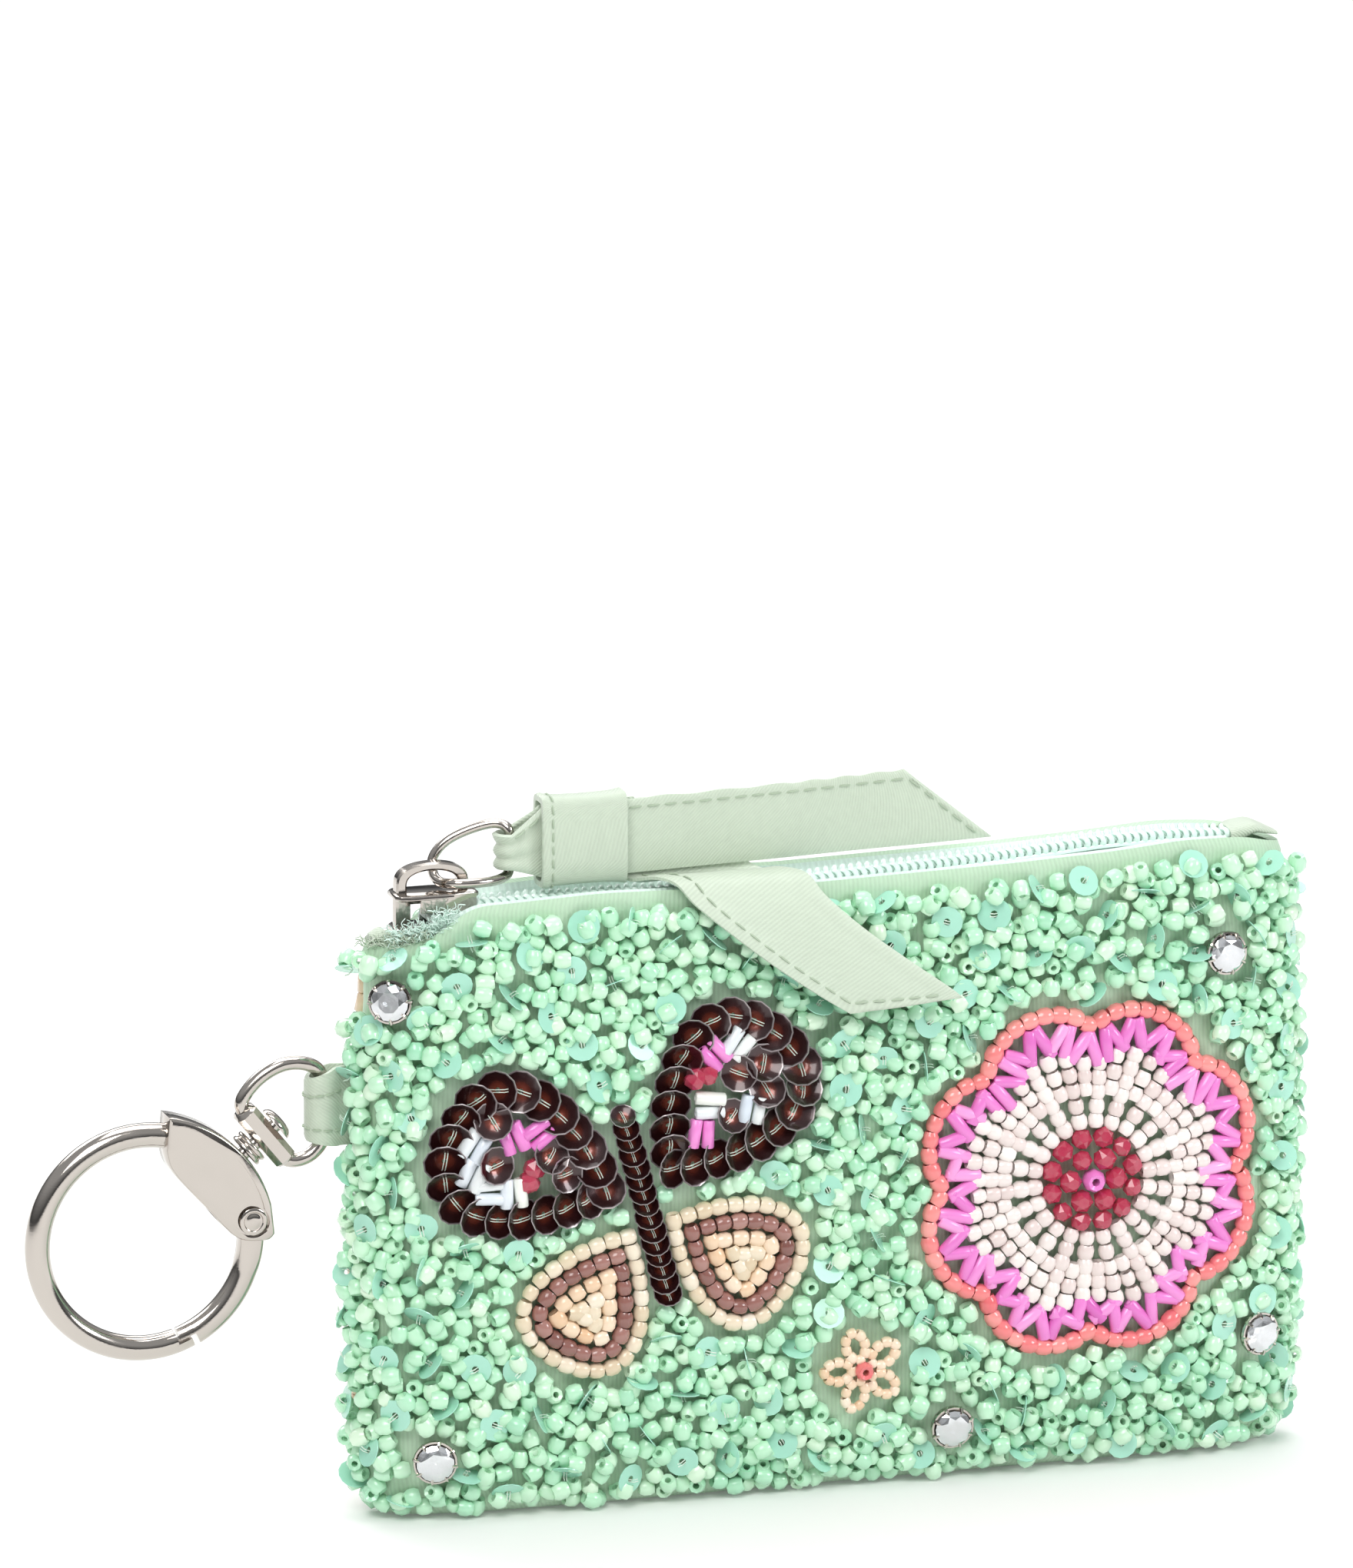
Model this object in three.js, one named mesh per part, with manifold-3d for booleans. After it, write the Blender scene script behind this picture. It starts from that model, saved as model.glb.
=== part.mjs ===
import * as THREE from 'three';
import { mergeVertices } from 'three/addons/utils/BufferGeometryUtils.js';
import Module from 'manifold-3d';

// A small beaded pouch with a coil zip, a ribbon pull and a swivelling ring clasp, in millimetres.
// It stands on its base with +Z up. The beaded front faces -Y, and the clasp hangs at the -X end.

const wasm = await Module();
wasm.setup();

// Gap between pieces that touch, and the shortest edge that a cut leaves
const gap = 0.3;
const finestEdge = 0.003;

// Pouch
const bagWidth = 120;
const bagHeight = 75;
const bagDepth = 18;
const bagWall = 3;
const seamOffset = 2.5;
const sideRoundness = 7;
const faceRoundness = 2.3;

// Embroidered motifs on the front
const motifRecess = 1.1;
const motifRise = 0.5;
const wingLength = 25;
const wingWidth = 20;
const hindWingLength = 19.5;
const hindWingWidth = 17;
const butterflyBodyLength = 25;
const butterflyBodyWidth = 3.4;
const butterflyTilt = 14;
const daisyRadius = 22.5;
const daisyBorder = 5.6;
const daisyHeart = 6;
const budRadius = 5.8;

// Crystals in their settings
const crystalDiameter = 4.6;
const crystalHeight = 2.05;
const cupDiameter = 5.4;
const cupHeight = 1.95;
const cupSink = 1.5;

// Zip
const tapeThickness = 0.7;
const tapeTurnDown = 5;
const coilWidth = 2;
const coilHeight = 1.5;
const sliderLength = 10.2;
const sliderWidth = 5.4;
const sliderPlate = 0.7;
const sliderFromSide = 11.2;
const bailWidth = 1.8;
const bailHeight = 3.5;
const bailThickness = 1.3;

// Ribbon pull
const pullWireDiameter = 1.2;
const ribbonWidth = 9;
const ribbonThickness = 1;
const ribbonFoldFromSlider = 7.4;
const ribbonLift = 1.4;
const rearTailLength = 62;
const rearTailRise = 1.2;
const tailCutAngle = 39;
const keeperWidth = 10.4;
const keeperWall = 0.9;
const keeperFromFold = 10.8;

// Side tab and swivel
const tabWidth = 9.6;
const tabThickness = 1;
const tabHeight = 50;
const tabReach = 4.1;
const tabSewnDepth = 2.6;
const eyeWireDiameter = 1.7;
const eyeDepth = 9.8;
const eyeWidth = 11.4;
const bossLength = 8.4;
const bossWidth = 2.8;
const bossThickness = 3.6;
const postDiameter = 1.8;
const postHeadDiameter = 4.4;
const postHeadHeight = 1.1;

// Ring clasp
const ringDiameter = 29;
const ringWireDiameter = 3;
const collarLength = 1.4;
const swivelTilt = 38.9;
const blockThickness = 4.6;
const blockLip = 1.1;
const blockStartAngle = 80;
const blockEndAngle = 14;
const cheekThickness = 0.8;
const pinDiameter = 1.8;
const pinHeadDiameter = 3.4;
const pinHeadHeight = 0.5;
const pinAngle = 8.6;
const gateEndAngle = -71.5;
const gateLap = 8;
const gateSwing = 12;

const degrees = Math.PI / 180;
const halfWidth = bagWidth / 2;
const halfDepth = bagDepth / 2;
const sliderPlace = sliderFromSide - halfWidth;
const ribbonFoldPlace = sliderPlace + ribbonFoldFromSlider;
const ribbonBottom = bagHeight + ribbonLift;
const keeperPlace = ribbonFoldPlace + keeperFromFold;
const keeperEnd = keeperPlace + keeperWidth / 2;

// Horizontal sections of the pouch, as shares of its height, half width, half depth and wall
const sections = [
  { height: 0, width: 0.945, depth: 0.66, wall: 1 },
  { height: 0.012, width: 0.966, depth: 0.8, wall: 1 },
  { height: 0.04, width: 0.985, depth: 0.92, wall: 1 },
  { height: 0.1, width: 0.997, depth: 0.985, wall: 1 },
  { height: 0.3, width: 1, depth: 1, wall: 1 },
  { height: 0.55, width: 1, depth: 1, wall: 1 },
  { height: 0.75, width: 0.996, depth: 0.955, wall: 1 },
  { height: 0.88, width: 0.99, depth: 0.9, wall: 0.9 },
  { height: 0.955, width: 0.98, depth: 0.84, wall: 0.7 },
  { height: 0.985, width: 0.968, depth: 0.755, wall: 0.6 },
  { height: 1, width: 0.957, depth: 0.7, wall: 0.4 },
];

// Heights along the mouth, as shares of the half width and of the pouch height: the rim, then the coil
const mouth = [
  { along: -1, rim: 0.925, coil: 0.955 },
  { along: -0.89, rim: 0.94, coil: 0.975 },
  { along: -0.84, rim: 0.947, coil: 0.979 },
  { along: -0.76, rim: 0.997, coil: 0.979 },
  { along: -0.5, rim: 1.006, coil: 0.976 },
  { along: -0.08, rim: 0.998, coil: 0.977 },
  { along: 0.36, rim: 1.006, coil: 0.995 },
  { along: 0.57, rim: 1.013, coil: 1.008 },
  { along: 0.72, rim: 1.022, coil: 1.01 },
  { along: 0.85, rim: 1.018, coil: 1.003 },
  { along: 1, rim: 0.985, coil: 0.985 },
];

// Where the points of a section lie along its half width
const columns = [0, 0.25, 0.5, 0.7, 0.82, 0.9, 0.95, 0.98, 0.995, 1];

// Places of the crystals on the front, as shares of the half width and the pouch height
const crystalPlaces = [
  { name: 'upper_left', along: -0.925, up: 0.853 },
  { name: 'upper_right', along: 0.8, up: 0.838 },
  { name: 'lower_right', along: 0.882, up: 0.2 },
  { name: 'lower_middle', along: 0.22, up: 0.095 },
  { name: 'lower_left', along: -0.85, up: 0.105 },
];

// The draped tail of the ribbon: its run over the rim and down the front, as shares of the half depth
// and the pouch height, with its two edges as shares of the half width from the keeper's end
const drape = [
  { out: -0.072, up: 1.135, start: 0.006, end: 0.093 },
  { out: -0.072, up: 1.035, start: 0.006, end: 0.238 },
  { out: 0.03, up: 1.008, start: 0.006, end: 0.288 },
  { out: 0.48, up: 1.019, start: 0.048, end: 0.323 },
  { out: 0.76, up: 1.016, start: 0.073, end: 0.347 },
  { out: 0.97, up: 0.987, start: 0.103, end: 0.373 },
  { out: 1.16, up: 0.935, start: 0.178, end: 0.443 },
  { out: 1.3, up: 0.88, start: 0.265, end: 0.533 },
  { out: 1.4, up: 0.828, start: 0.358, end: 0.623 },
];
const drapeTip = { out: 1.42, startUp: 0.804, endUp: 0.816, start: 0.405, end: 0.639 };

// The wire of the swivel eye, as shares of its depth and width, from one end of its boss to the other
const eyeRoute = [
  { depth: 0, across: -0.36 },
  { depth: 0.066, across: -0.44 },
  { depth: 0.376, across: -0.5 },
  { depth: 0.704, across: -0.445 },
  { depth: 0.908, across: -0.311 },
  { depth: 1, across: -0.161 },
  { depth: 0.964, across: -0.007 },
  { depth: 0.788, across: 0.208 },
  { depth: 0.614, across: 0.393 },
  { depth: 0.439, across: 0.496 },
  { depth: 0.2, across: 0.499 },
  { depth: 0, across: 0.36 },
];

// The pull wire, from the bail to the fold of the ribbon and back, as shares of the bail's height
const pullRoute = [
  { along: 0.1, out: 0, up: 0.33 },
  { along: 0.5, out: -0.6, up: 0.38 },
  { along: 1.3, out: -0.62, up: 0.36 },
  { along: 2.1, out: -0.3, up: 0.36 },
  { along: 2.49, out: 0, up: 0.5 },
  { along: 2.49, out: 0, up: 1.2 },
  { along: 2.49, out: 0, up: 2 },
  { along: 2.2, out: 0.25, up: 2.16 },
  { along: 1.3, out: 0.55, up: 1.95 },
  { along: 0.4, out: 0.66, up: 1.5 },
  { along: 0, out: 0.66, up: 0.95 },
  { along: 0, out: 0.5, up: 0.5 },
];

const finish = (color, roughness, metalness = 0) =>
  new THREE.MeshStandardMaterial({ color, roughness, metalness });
const mintBeads = finish(0xb5e8c4, 0.35);
const plainBeads = finish(0xa9dcc0, 0.4);
const satin = finish(0xbccbb4, 0.55);
const zipCloth = finish(0xd5eee4, 0.6);
const nickel = finish(0xd8d4ce, 0.18, 1);
const crystalGlass = finish(0xf4f8fa, 0.05);
const brownSequins = finish(0x3a1a1c, 0.3);
const creamBeads = finish(0xe9d9be, 0.4);
const blushBeads = finish(0xf0e4e0, 0.4);
const pinkBugles = finish(0xee88d4, 0.3);
const redCrystals = finish(0xc81048, 0.2);

// Reads one column of a table of rows sorted along another, with straight lines between the rows
function readTable(table, key, value, at) {
  const last = table.length - 1;
  if (at <= table[0][key]) return table[0][value];
  if (at >= table[last][key]) return table[last][value];
  const next = table.findIndex((row) => row[key] > at);
  const share = (at - table[next - 1][key]) / (table[next][key] - table[next - 1][key]);
  return THREE.MathUtils.lerp(table[next - 1][value], table[next][value], share);
}

const rimHeight = (x) => bagHeight * readTable(mouth, 'along', 'rim', x / halfWidth);
const coilBottom = (x) => bagHeight * readTable(mouth, 'along', 'coil', x / halfWidth);

// A closed body from points and triangles, with its faces turned outwards
function bodyFrom(points, triangles) {
  let volume = 0;
  const corner = [new THREE.Vector3(), new THREE.Vector3(), new THREE.Vector3()];
  for (const triangle of triangles) {
    triangle.forEach((index, at) => corner[at].fromArray(points[index]));
    volume += corner[0].dot(corner[1].cross(corner[2]));
  }
  const order = volume < 0 ? triangles.map(([a, b, c]) => [a, c, b]) : triangles;
  const vertProperties = new Float32Array(points.flat());
  const triVerts = new Uint32Array(order.flat());
  return new wasm.Manifold(new wasm.Mesh({ numProp: 3, vertProperties, triVerts }));
}

// A closed body from a three.js geometry
function bodyOf(geometry) {
  geometry.deleteAttribute('normal');
  geometry.deleteAttribute('uv');
  const merged = mergeVertices(geometry, 1e-4);
  const points = [];
  for (let at = 0; at < merged.attributes.position.count; at += 1) {
    points.push(new THREE.Vector3().fromBufferAttribute(merged.attributes.position, at).toArray());
  }
  const triangles = [];
  for (let at = 0; at < merged.index.count; at += 3) {
    const triangle = [0, 1, 2].map((step) => merged.index.getX(at + step));
    if (new Set(triangle).size === 3) triangles.push(triangle);
  }
  return bodyFrom(points, triangles);
}

// The three.js geometry of a closed body
function geometryOf(body) {
  const mesh = body.simplify(finestEdge).getMesh();
  const points = [];
  for (let at = 0; at < mesh.vertProperties.length; at += mesh.numProp) {
    points.push(...mesh.vertProperties.slice(at, at + 3));
  }
  const geometry = new THREE.BufferGeometry();
  geometry.setAttribute('position', new THREE.Float32BufferAttribute(points, 3));
  geometry.setIndex([...mesh.triVerts]);
  geometry.computeVertexNormals();
  return geometry;
}

function piece(name, body, material) {
  const mesh = new THREE.Mesh(geometryOf(body), material);
  mesh.name = name;
  return mesh;
}

// A body lofted through closed rings of points, with each end closed by the given triangles
function loft(rings, endTriangles) {
  const count = rings[0].length;
  const triangles = [];
  for (let row = 0; row < rings.length - 1; row += 1) {
    for (let at = 0; at < count; at += 1) {
      const a = row * count + at;
      const b = row * count + ((at + 1) % count);
      triangles.push([a, b, b + count], [a, b + count, a + count]);
    }
  }
  const top = (rings.length - 1) * count;
  for (const [a, b, c] of endTriangles) {
    triangles.push([a, c, b], [top + a, top + b, top + c]);
  }
  return bodyFrom(rings.flat(), triangles);
}

// A body lofted along X through outlines in Y and Z
function loftAlong(stations) {
  const flat = stations[0].outline.map(([y, z]) => new THREE.Vector2(y, z));
  const turn = THREE.ShapeUtils.isClockWise(flat) ? -1 : 1;
  const ends = THREE.ShapeUtils.triangulateShape(turn < 0 ? [...flat].reverse() : flat, []);
  const rings = stations.map(({ x, outline }) => {
    const ring = outline.map(([y, z]) => [x, y, z]);
    return turn < 0 ? ring.reverse() : ring;
  });
  return loft(rings, ends);
}

// A round wire along a closed route
function closedWire(points, diameter, steps, sides) {
  const curve = new THREE.CatmullRomCurve3(points, true, 'centripetal');
  const frames = curve.computeFrenetFrames(steps, true);
  const vertices = [];
  const triangles = [];
  for (let step = 0; step < steps; step += 1) {
    const centre = curve.getPointAt(step / steps);
    for (let side = 0; side < sides; side += 1) {
      const angle = (side / sides) * 2 * Math.PI;
      const point = centre.clone()
        .addScaledVector(frames.normals[step], (Math.cos(angle) * diameter) / 2)
        .addScaledVector(frames.binormals[step], (Math.sin(angle) * diameter) / 2);
      vertices.push(point.toArray());
      const next = (step + 1) % steps;
      const beside = (side + 1) % sides;
      const corners = [step * sides + side, step * sides + beside, next * sides + beside, next * sides + side];
      triangles.push([corners[0], corners[1], corners[2]], [corners[0], corners[2], corners[3]]);
    }
  }
  return bodyFrom(vertices, triangles);
}

// A plate with an outline in X and Z, between two values of Y
function plate(points, front, back, holes = []) {
  const shape = new THREE.Shape(points.map(([x, z]) => new THREE.Vector2(x, z)));
  shape.holes = holes.map((hole) => new THREE.Path(hole.map(([x, z]) => new THREE.Vector2(x, z))));
  const geometry = new THREE.ExtrudeGeometry(shape, { depth: back - front, bevelEnabled: false });
  return bodyOf(geometry.rotateX(Math.PI / 2).translate(0, back, 0));
}

function block(from, to) {
  const size = to.map((value, axis) => value - from[axis]);
  const middle = to.map((value, axis) => (value + from[axis]) / 2);
  return bodyOf(new THREE.BoxGeometry(...size).translate(...middle));
}

// A round bar along Y, centred on a point in X and Z
function crossBar(x, z, diameter, length, y = 0) {
  const sides = 16;
  return bodyOf(new THREE.CylinderGeometry(diameter / 2, diameter / 2, length, sides).translate(x, y, z));
}

const arc = (radius, from, to, steps, centre = [0, 0]) =>
  Array.from({ length: steps + 1 }, (_, step) => {
    const angle = THREE.MathUtils.lerp(from, to, step / steps) * degrees;
    return [centre[0] + radius * Math.cos(angle), centre[1] + radius * Math.sin(angle)];
  });

const circle = (radius, sides, centre) => arc(radius, 0, 360 - 360 / sides, sides - 1, centre);

// The pouch's outer form, moved in by the same inset all over or by a share of it for each section
const depthAt = (share) => (1 - share ** sideRoundness) ** (1 / faceRoundness);

function pouchForm(inset, key = '', above = 0) {
  const shares = [...columns.slice(1).map((share) => -share).reverse(), ...columns];
  const rows = above > 0 ? [...sections, { ...sections.at(-1), height: 1 + above }] : sections;
  const rings = rows.map((row) => {
    const moved = key ? inset * row[key] : inset;
    const across = row.width * halfWidth - moved;
    const deep = row.depth * halfDepth - moved;
    const point = (share, side) => {
      const x = share * across;
      const z = inset + row.height * (rimHeight(x) - inset);
      return [x, side * deep * depthAt(Math.abs(share)), z];
    };
    const front = shares.map((share) => point(share, -1));
    const back = shares.slice(1, -1).map((share) => point(share, 1)).reverse();
    return [...front, ...back];
  });
  const last = shares.length - 1;
  const count = rings[0].length;
  const facing = (at) => (at === 0 || at === last ? at : count - at);
  const ends = [];
  for (let at = 0; at < last; at += 1) {
    const corners = [at, at + 1, facing(at + 1), facing(at)];
    if (corners[1] !== corners[2]) ends.push([corners[0], corners[1], corners[2]]);
    if (corners[0] !== corners[3]) ends.push([corners[0], corners[2], corners[3]]);
  }
  return loft(rings, ends);
}

// A point of the pouch's front and the direction that it faces
function frontPoint(x, z) {
  const height = z / rimHeight(x);
  const across = readTable(sections, 'height', 'width', height) * halfWidth;
  const deep = readTable(sections, 'height', 'depth', height) * halfDepth;
  return new THREE.Vector3(x, -deep * depthAt(Math.min(Math.abs(x) / across, 1)), z);
}

function frontFacing(x, z) {
  const step = 0.5;
  const along = frontPoint(x + step, z).sub(frontPoint(x - step, z));
  const up = frontPoint(x, z + step).sub(frontPoint(x, z - step));
  return along.cross(up).normalize();
}

// A drop-shaped outline from a root point, blunt at its far end
function dropOutline(length, width, angle, root) {
  const steps = 12;
  const side = (share) => (share ** 0.9 * (1 - share) ** 0.45) / 0.4236;
  const half = Array.from({ length: steps - 1 }, (_, step) => 1 - (1 - (step + 1) / steps) ** 1.5);
  const edge = [
    [0, 0],
    ...half.map((share) => [share * length, (-side(share) * width) / 2]),
    [length, 0],
    ...half.map((share) => [share * length, (side(share) * width) / 2]).reverse(),
  ];
  return edge.map(([along, aside]) => turned([along, aside], angle, root));
}

function turned([x, z], angle, centre) {
  const c = Math.cos(angle * degrees);
  const s = Math.sin(angle * degrees);
  return [centre[0] + x * c - z * s, centre[1] + x * s + z * c];
}

// A flower outline whose edge swells out once for each petal
function flowerOutline(radius, petals, swell, centre) {
  const steps = petals * 6;
  return Array.from({ length: steps }, (_, step) => {
    const angle = (step / steps) * 2 * Math.PI;
    const reach = radius * (1 - swell * (1 - Math.abs(Math.sin((petals * angle) / 2)) ** 0.7));
    return [centre[0] + reach * Math.cos(angle), centre[1] + reach * Math.sin(angle)];
  });
}

// The same outline moved out by a distance all round
function grown(points, distance) {
  const count = points.length;
  return points.map((point, at) => {
    const before = points[(at + count - 1) % count];
    const after = points[(at + 1) % count];
    const way = new THREE.Vector2(after[1] - before[1], before[0] - after[0]).normalize();
    return [point[0] + way.x * distance, point[1] + way.y * distance];
  });
}

const butterflyCentre = [-0.42 * halfWidth, 0.5 * bagHeight];
const daisyCentre = [0.515 * halfWidth, 0.485 * bagHeight];
const budCentre = [0.035 * halfWidth, 0.2 * bagHeight];

function wing(length, width, angle, side) {
  const root = turned([(side * butterflyBodyWidth) / 2 + side * gap, 0.08 * wingLength * Math.sign(angle)],
    butterflyTilt, butterflyCentre);
  const aimed = side > 0 ? angle : 180 - angle;
  const outline = dropOutline(length, width, aimed + butterflyTilt, root);
  return outline;
}

function bodyOutline() {
  const steps = 20;
  return Array.from({ length: steps }, (_, step) => {
    const angle = (step / steps) * 2 * Math.PI;
    const point = [(Math.cos(angle) * butterflyBodyWidth) / 2, (Math.sin(angle) * butterflyBodyLength) / 2];
    return turned(point, butterflyTilt, butterflyCentre);
  });
}

const daisyField = flowerOutline(daisyRadius - daisyBorder, 8, 0.16, daisyCentre);
const motifs = [
  { name: 'wing_upper_left', outline: wing(wingLength, wingWidth, 36, -1), finish: brownSequins },
  { name: 'wing_upper_right', outline: wing(wingLength, wingWidth, 36, 1), finish: brownSequins },
  { name: 'wing_lower_left', outline: wing(hindWingLength, hindWingWidth, -46, -1), finish: creamBeads },
  { name: 'wing_lower_right', outline: wing(hindWingLength, hindWingWidth, -46, 1), finish: creamBeads },
  { name: 'butterfly_body', outline: bodyOutline(), finish: brownSequins },
  { name: 'daisy_border', outline: flowerOutline(daisyRadius, 8, 0.12, daisyCentre),
    hole: grown(daisyField, gap), finish: pinkBugles },
  { name: 'daisy_petals', outline: daisyField, hole: circle(daisyHeart + gap, 24, daisyCentre),
    finish: blushBeads },
  { name: 'daisy_heart', outline: circle(daisyHeart, 24, daisyCentre), finish: redCrystals },
  { name: 'bud', outline: flowerOutline(budRadius, 5, 0.2, budCentre), finish: creamBeads },
];

// The field of the motifs is sunk into the crust of the front panel
function motifSolid({ outline, hole }) {
  const skin = pouchForm(-motifRise).subtract(pouchForm(motifRecess - gap));
  return skin.intersect(plate(outline, -bagDepth, 0, hole ? [hole] : []));
}

function motifCut() {
  const skin = pouchForm(-motifRise).subtract(pouchForm(motifRecess));
  return motifs
    .filter(({ name }) => name !== 'daisy_petals' && name !== 'daisy_heart')
    .map(({ outline }) => skin.intersect(plate(grown(outline, gap), -bagDepth, 0)));
}

// A turned body about its own Z axis, from a profile of radius and height
function turnedBody(profile, segments) {
  const geometry = new THREE.LatheGeometry(profile.map(([r, z]) => new THREE.Vector2(r, z)), segments);
  return bodyOf(geometry.rotateX(Math.PI / 2));
}

// A brilliant-cut crystal in a pressed cup, with its axis square to the face of the pouch
function crystalBody() {
  const girdle = crystalDiameter / 2;
  const low = cupHeight - cupSink + gap - 0.15;
  const bottom = gap + 0.4 - cupSink;
  const top = bottom + crystalHeight;
  return turnedBody([[0, bottom], [girdle, low], [girdle, low + 0.15], [0.58 * girdle, top], [0, top]], 10);
}

function cupBody() {
  const outer = cupDiameter / 2;
  const rim = cupHeight - cupSink;
  const sheet = 0.25;
  return turnedBody([
    [0, -cupSink], [0.62 * outer, -cupSink], [outer, 0.4 - 0.5 * cupSink], [outer, rim],
    [outer - sheet, rim], [outer - sheet, 0.45 - 0.5 * cupSink], [0.58 * outer, 0.4 - cupSink],
    [0, 0.4 - cupSink],
  ], 16);
}

function crystalStand({ along, up }) {
  const x = along * halfWidth;
  const z = up * bagHeight;
  const stand = new THREE.Object3D();
  stand.position.copy(frontPoint(x, z));
  stand.quaternion.setFromUnitVectors(new THREE.Vector3(0, 0, 1), frontFacing(x, z));
  stand.updateMatrix();
  return stand;
}

function crystalPocket(place) {
  const pocket = new THREE.CylinderGeometry(cupDiameter / 2 + gap, cupDiameter / 2 + gap, 2 * (cupSink + gap), 16);
  const stand = crystalStand(place);
  return bodyOf(pocket.rotateX(Math.PI / 2).applyMatrix4(stand.matrix));
}

// The side tab is a loop of ribbon round the eye, with its two ends sewn into the side seam
const tabInner = eyeWireDiameter / 2 + gap;
const tabOuter = tabInner + tabThickness;
const sideAt = -halfWidth;
const foldAt = sideAt - tabReach;

function tabOutline(grow) {
  const mouthAt = sideAt + 0.2;
  const outer = tabOuter + grow;
  const sewn = tabThickness + gap / 2 + grow;
  const end = sideAt + tabSewnDepth + grow;
  const outside = [
    ...arc(outer, 180, 90, 6, [foldAt + tabOuter, 0]),
    [sideAt - 1.4, outer],
    [mouthAt, sewn],
    [end, sewn],
  ];
  const mirrored = (points) => points.map(([x, y]) => [x, -y]).reverse();
  if (grow > 0) return [...outside, ...mirrored(outside).slice(0, -1)];
  const inside = [
    [end, gap / 2],
    [mouthAt, gap / 2],
    [sideAt - 0.9, tabInner],
    ...arc(tabInner, 90, 180, 6, [foldAt + tabOuter, 0]),
  ];
  return [...outside, ...inside, ...mirrored(inside).slice(1), ...mirrored(outside).slice(0, -1)];
}

function tabBody(grow) {
  const shape = new THREE.Shape(tabOutline(grow).map(([x, y]) => new THREE.Vector2(x, y)));
  const depth = tabWidth + 2 * grow;
  const geometry = new THREE.ExtrudeGeometry(shape, { depth, bevelEnabled: false });
  const strip = bodyOf(geometry.translate(0, seamOffset, tabHeight - depth / 2));
  if (grow > 0) return strip;
  const high = tabHeight + depth / 2;
  const low = tabHeight - depth / 2;
  const seam = sideAt - 0.5;
  return strip.intersect(plate([
    [foldAt - 1, low + 0.8], [seam, low], [bagWidth, low], [bagWidth, high], [seam, high],
    [sideAt - 2.5, high - 1.2], [foldAt - 1, high - 1.4],
  ], -bagDepth, bagDepth));
}

// The pouch: front and back panels, sewn together round the sides and along the base
function panels() {
  const shell = pouchForm(0).subtract(pouchForm(bagWall, 'wall', 0.1)).subtract(tabBody(gap));
  const reach = 2 * bagWidth;
  const front = block([-reach, -reach, -reach], [reach, seamOffset - gap / 2, reach]);
  const back = block([-reach, seamOffset + gap / 2, -reach], [reach, reach, reach]);
  let face = shell.intersect(front);
  for (const cut of [...motifCut(), ...crystalPlaces.map(crystalPocket)]) face = face.subtract(cut);
  return [
    piece('front_panel', face, mintBeads),
    piece('back_panel', shell.intersect(back), plainBeads),
  ];
}

const pouch = new THREE.Group();
pouch.add(...panels());
pouch.add(...motifs.map((motif) => piece(motif.name, motifSolid(motif), motif.finish)));
for (const place of crystalPlaces) {
  const stand = crystalStand(place);
  stand.add(piece(`crystal_${place.name}`, crystalBody(), crystalGlass));
  stand.add(piece(`crystal_cup_${place.name}`, cupBody(), nickel));
  pouch.add(stand);
}

// Zip: two tapes turned down inside the rim, with a row of coil on each
const rimSection = sections.at(-1);
const rimInnerWidth = rimSection.width * halfWidth - bagWall * rimSection.wall;
const rimInnerDepth = rimSection.depth * halfDepth - bagWall * rimSection.wall;
const mouthDepth = (x) => rimInnerDepth * depthAt(Math.min(Math.abs(x) / rimInnerWidth, 1));
const sliderLeft = sliderPlace - sliderLength / 2;
const sliderRight = sliderPlace + sliderLength / 2;
const tapeLeft = sliderLeft + 4.2;
const zipRight = 0.835 * halfWidth;
const zipStations = (from, to) =>
  [from, ...mouth.map(({ along }) => along * halfWidth).filter((x) => x > from + 1 && x < to - 1), to];

function tapeBody(side) {
  return loftAlong(zipStations(tapeLeft, zipRight).map((x) => {
    const edge = mouthDepth(x) - gap;
    const turn = Math.min(coilWidth + 2 * gap, edge - tapeThickness - 0.1);
    const rim = rimHeight(x) - gap;
    const top = coilBottom(x) - gap;
    const section = [
      [edge, rim - tapeTurnDown], [edge - tapeThickness, rim - tapeTurnDown],
      [edge - tapeThickness, rim - tapeThickness], [turn, top - tapeThickness],
      [gap / 2, top - tapeThickness], [gap / 2, top], [turn, top], [edge, rim],
    ];
    return { x, outline: section.map(([y, z]) => [side * y, z]) };
  }));
}

function coilBody(side) {
  return loftAlong(zipStations(sliderRight - 4, zipRight).map((x) => {
    const section = [[0.15, 0.25], [0.4, 0], [0.85, 0], [1, 0.3], [1, 0.65], [0.8, 1], [0.35, 1], [0.15, 0.75]];
    const outline = section.map(([across, up]) => [
      side * (gap / 2 + (coilWidth * (across - 0.15)) / 0.85), coilBottom(x) + coilHeight * up,
    ]);
    return { x, outline };
  }));
}

// The satin stops at the two ends of the zip
function endStop(stations) {
  return loftAlong(stations.map(({ x, low, high, half }) => ({
    x,
    outline: [[-half, low], [half, low], [half, high - 0.5], [0.6 * half, high], [-0.6 * half, high],
      [-half, high - 0.5]],
  })));
}

function rightStop() {
  const start = zipRight + gap;
  const end = 0.945 * halfWidth;
  const middle = (start + end) / 2;
  return endStop([
    { x: start, low: coilBottom(start) - 1, high: coilBottom(start) + coilHeight + 0.3, half: 2.6 },
    { x: middle, low: rimHeight(middle) + gap, high: rimHeight(middle) + 1.7, half: 2.4 },
    { x: end, low: rimHeight(end) + gap, high: rimHeight(end) + 1.3, half: 1.4 },
  ]);
}

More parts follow.
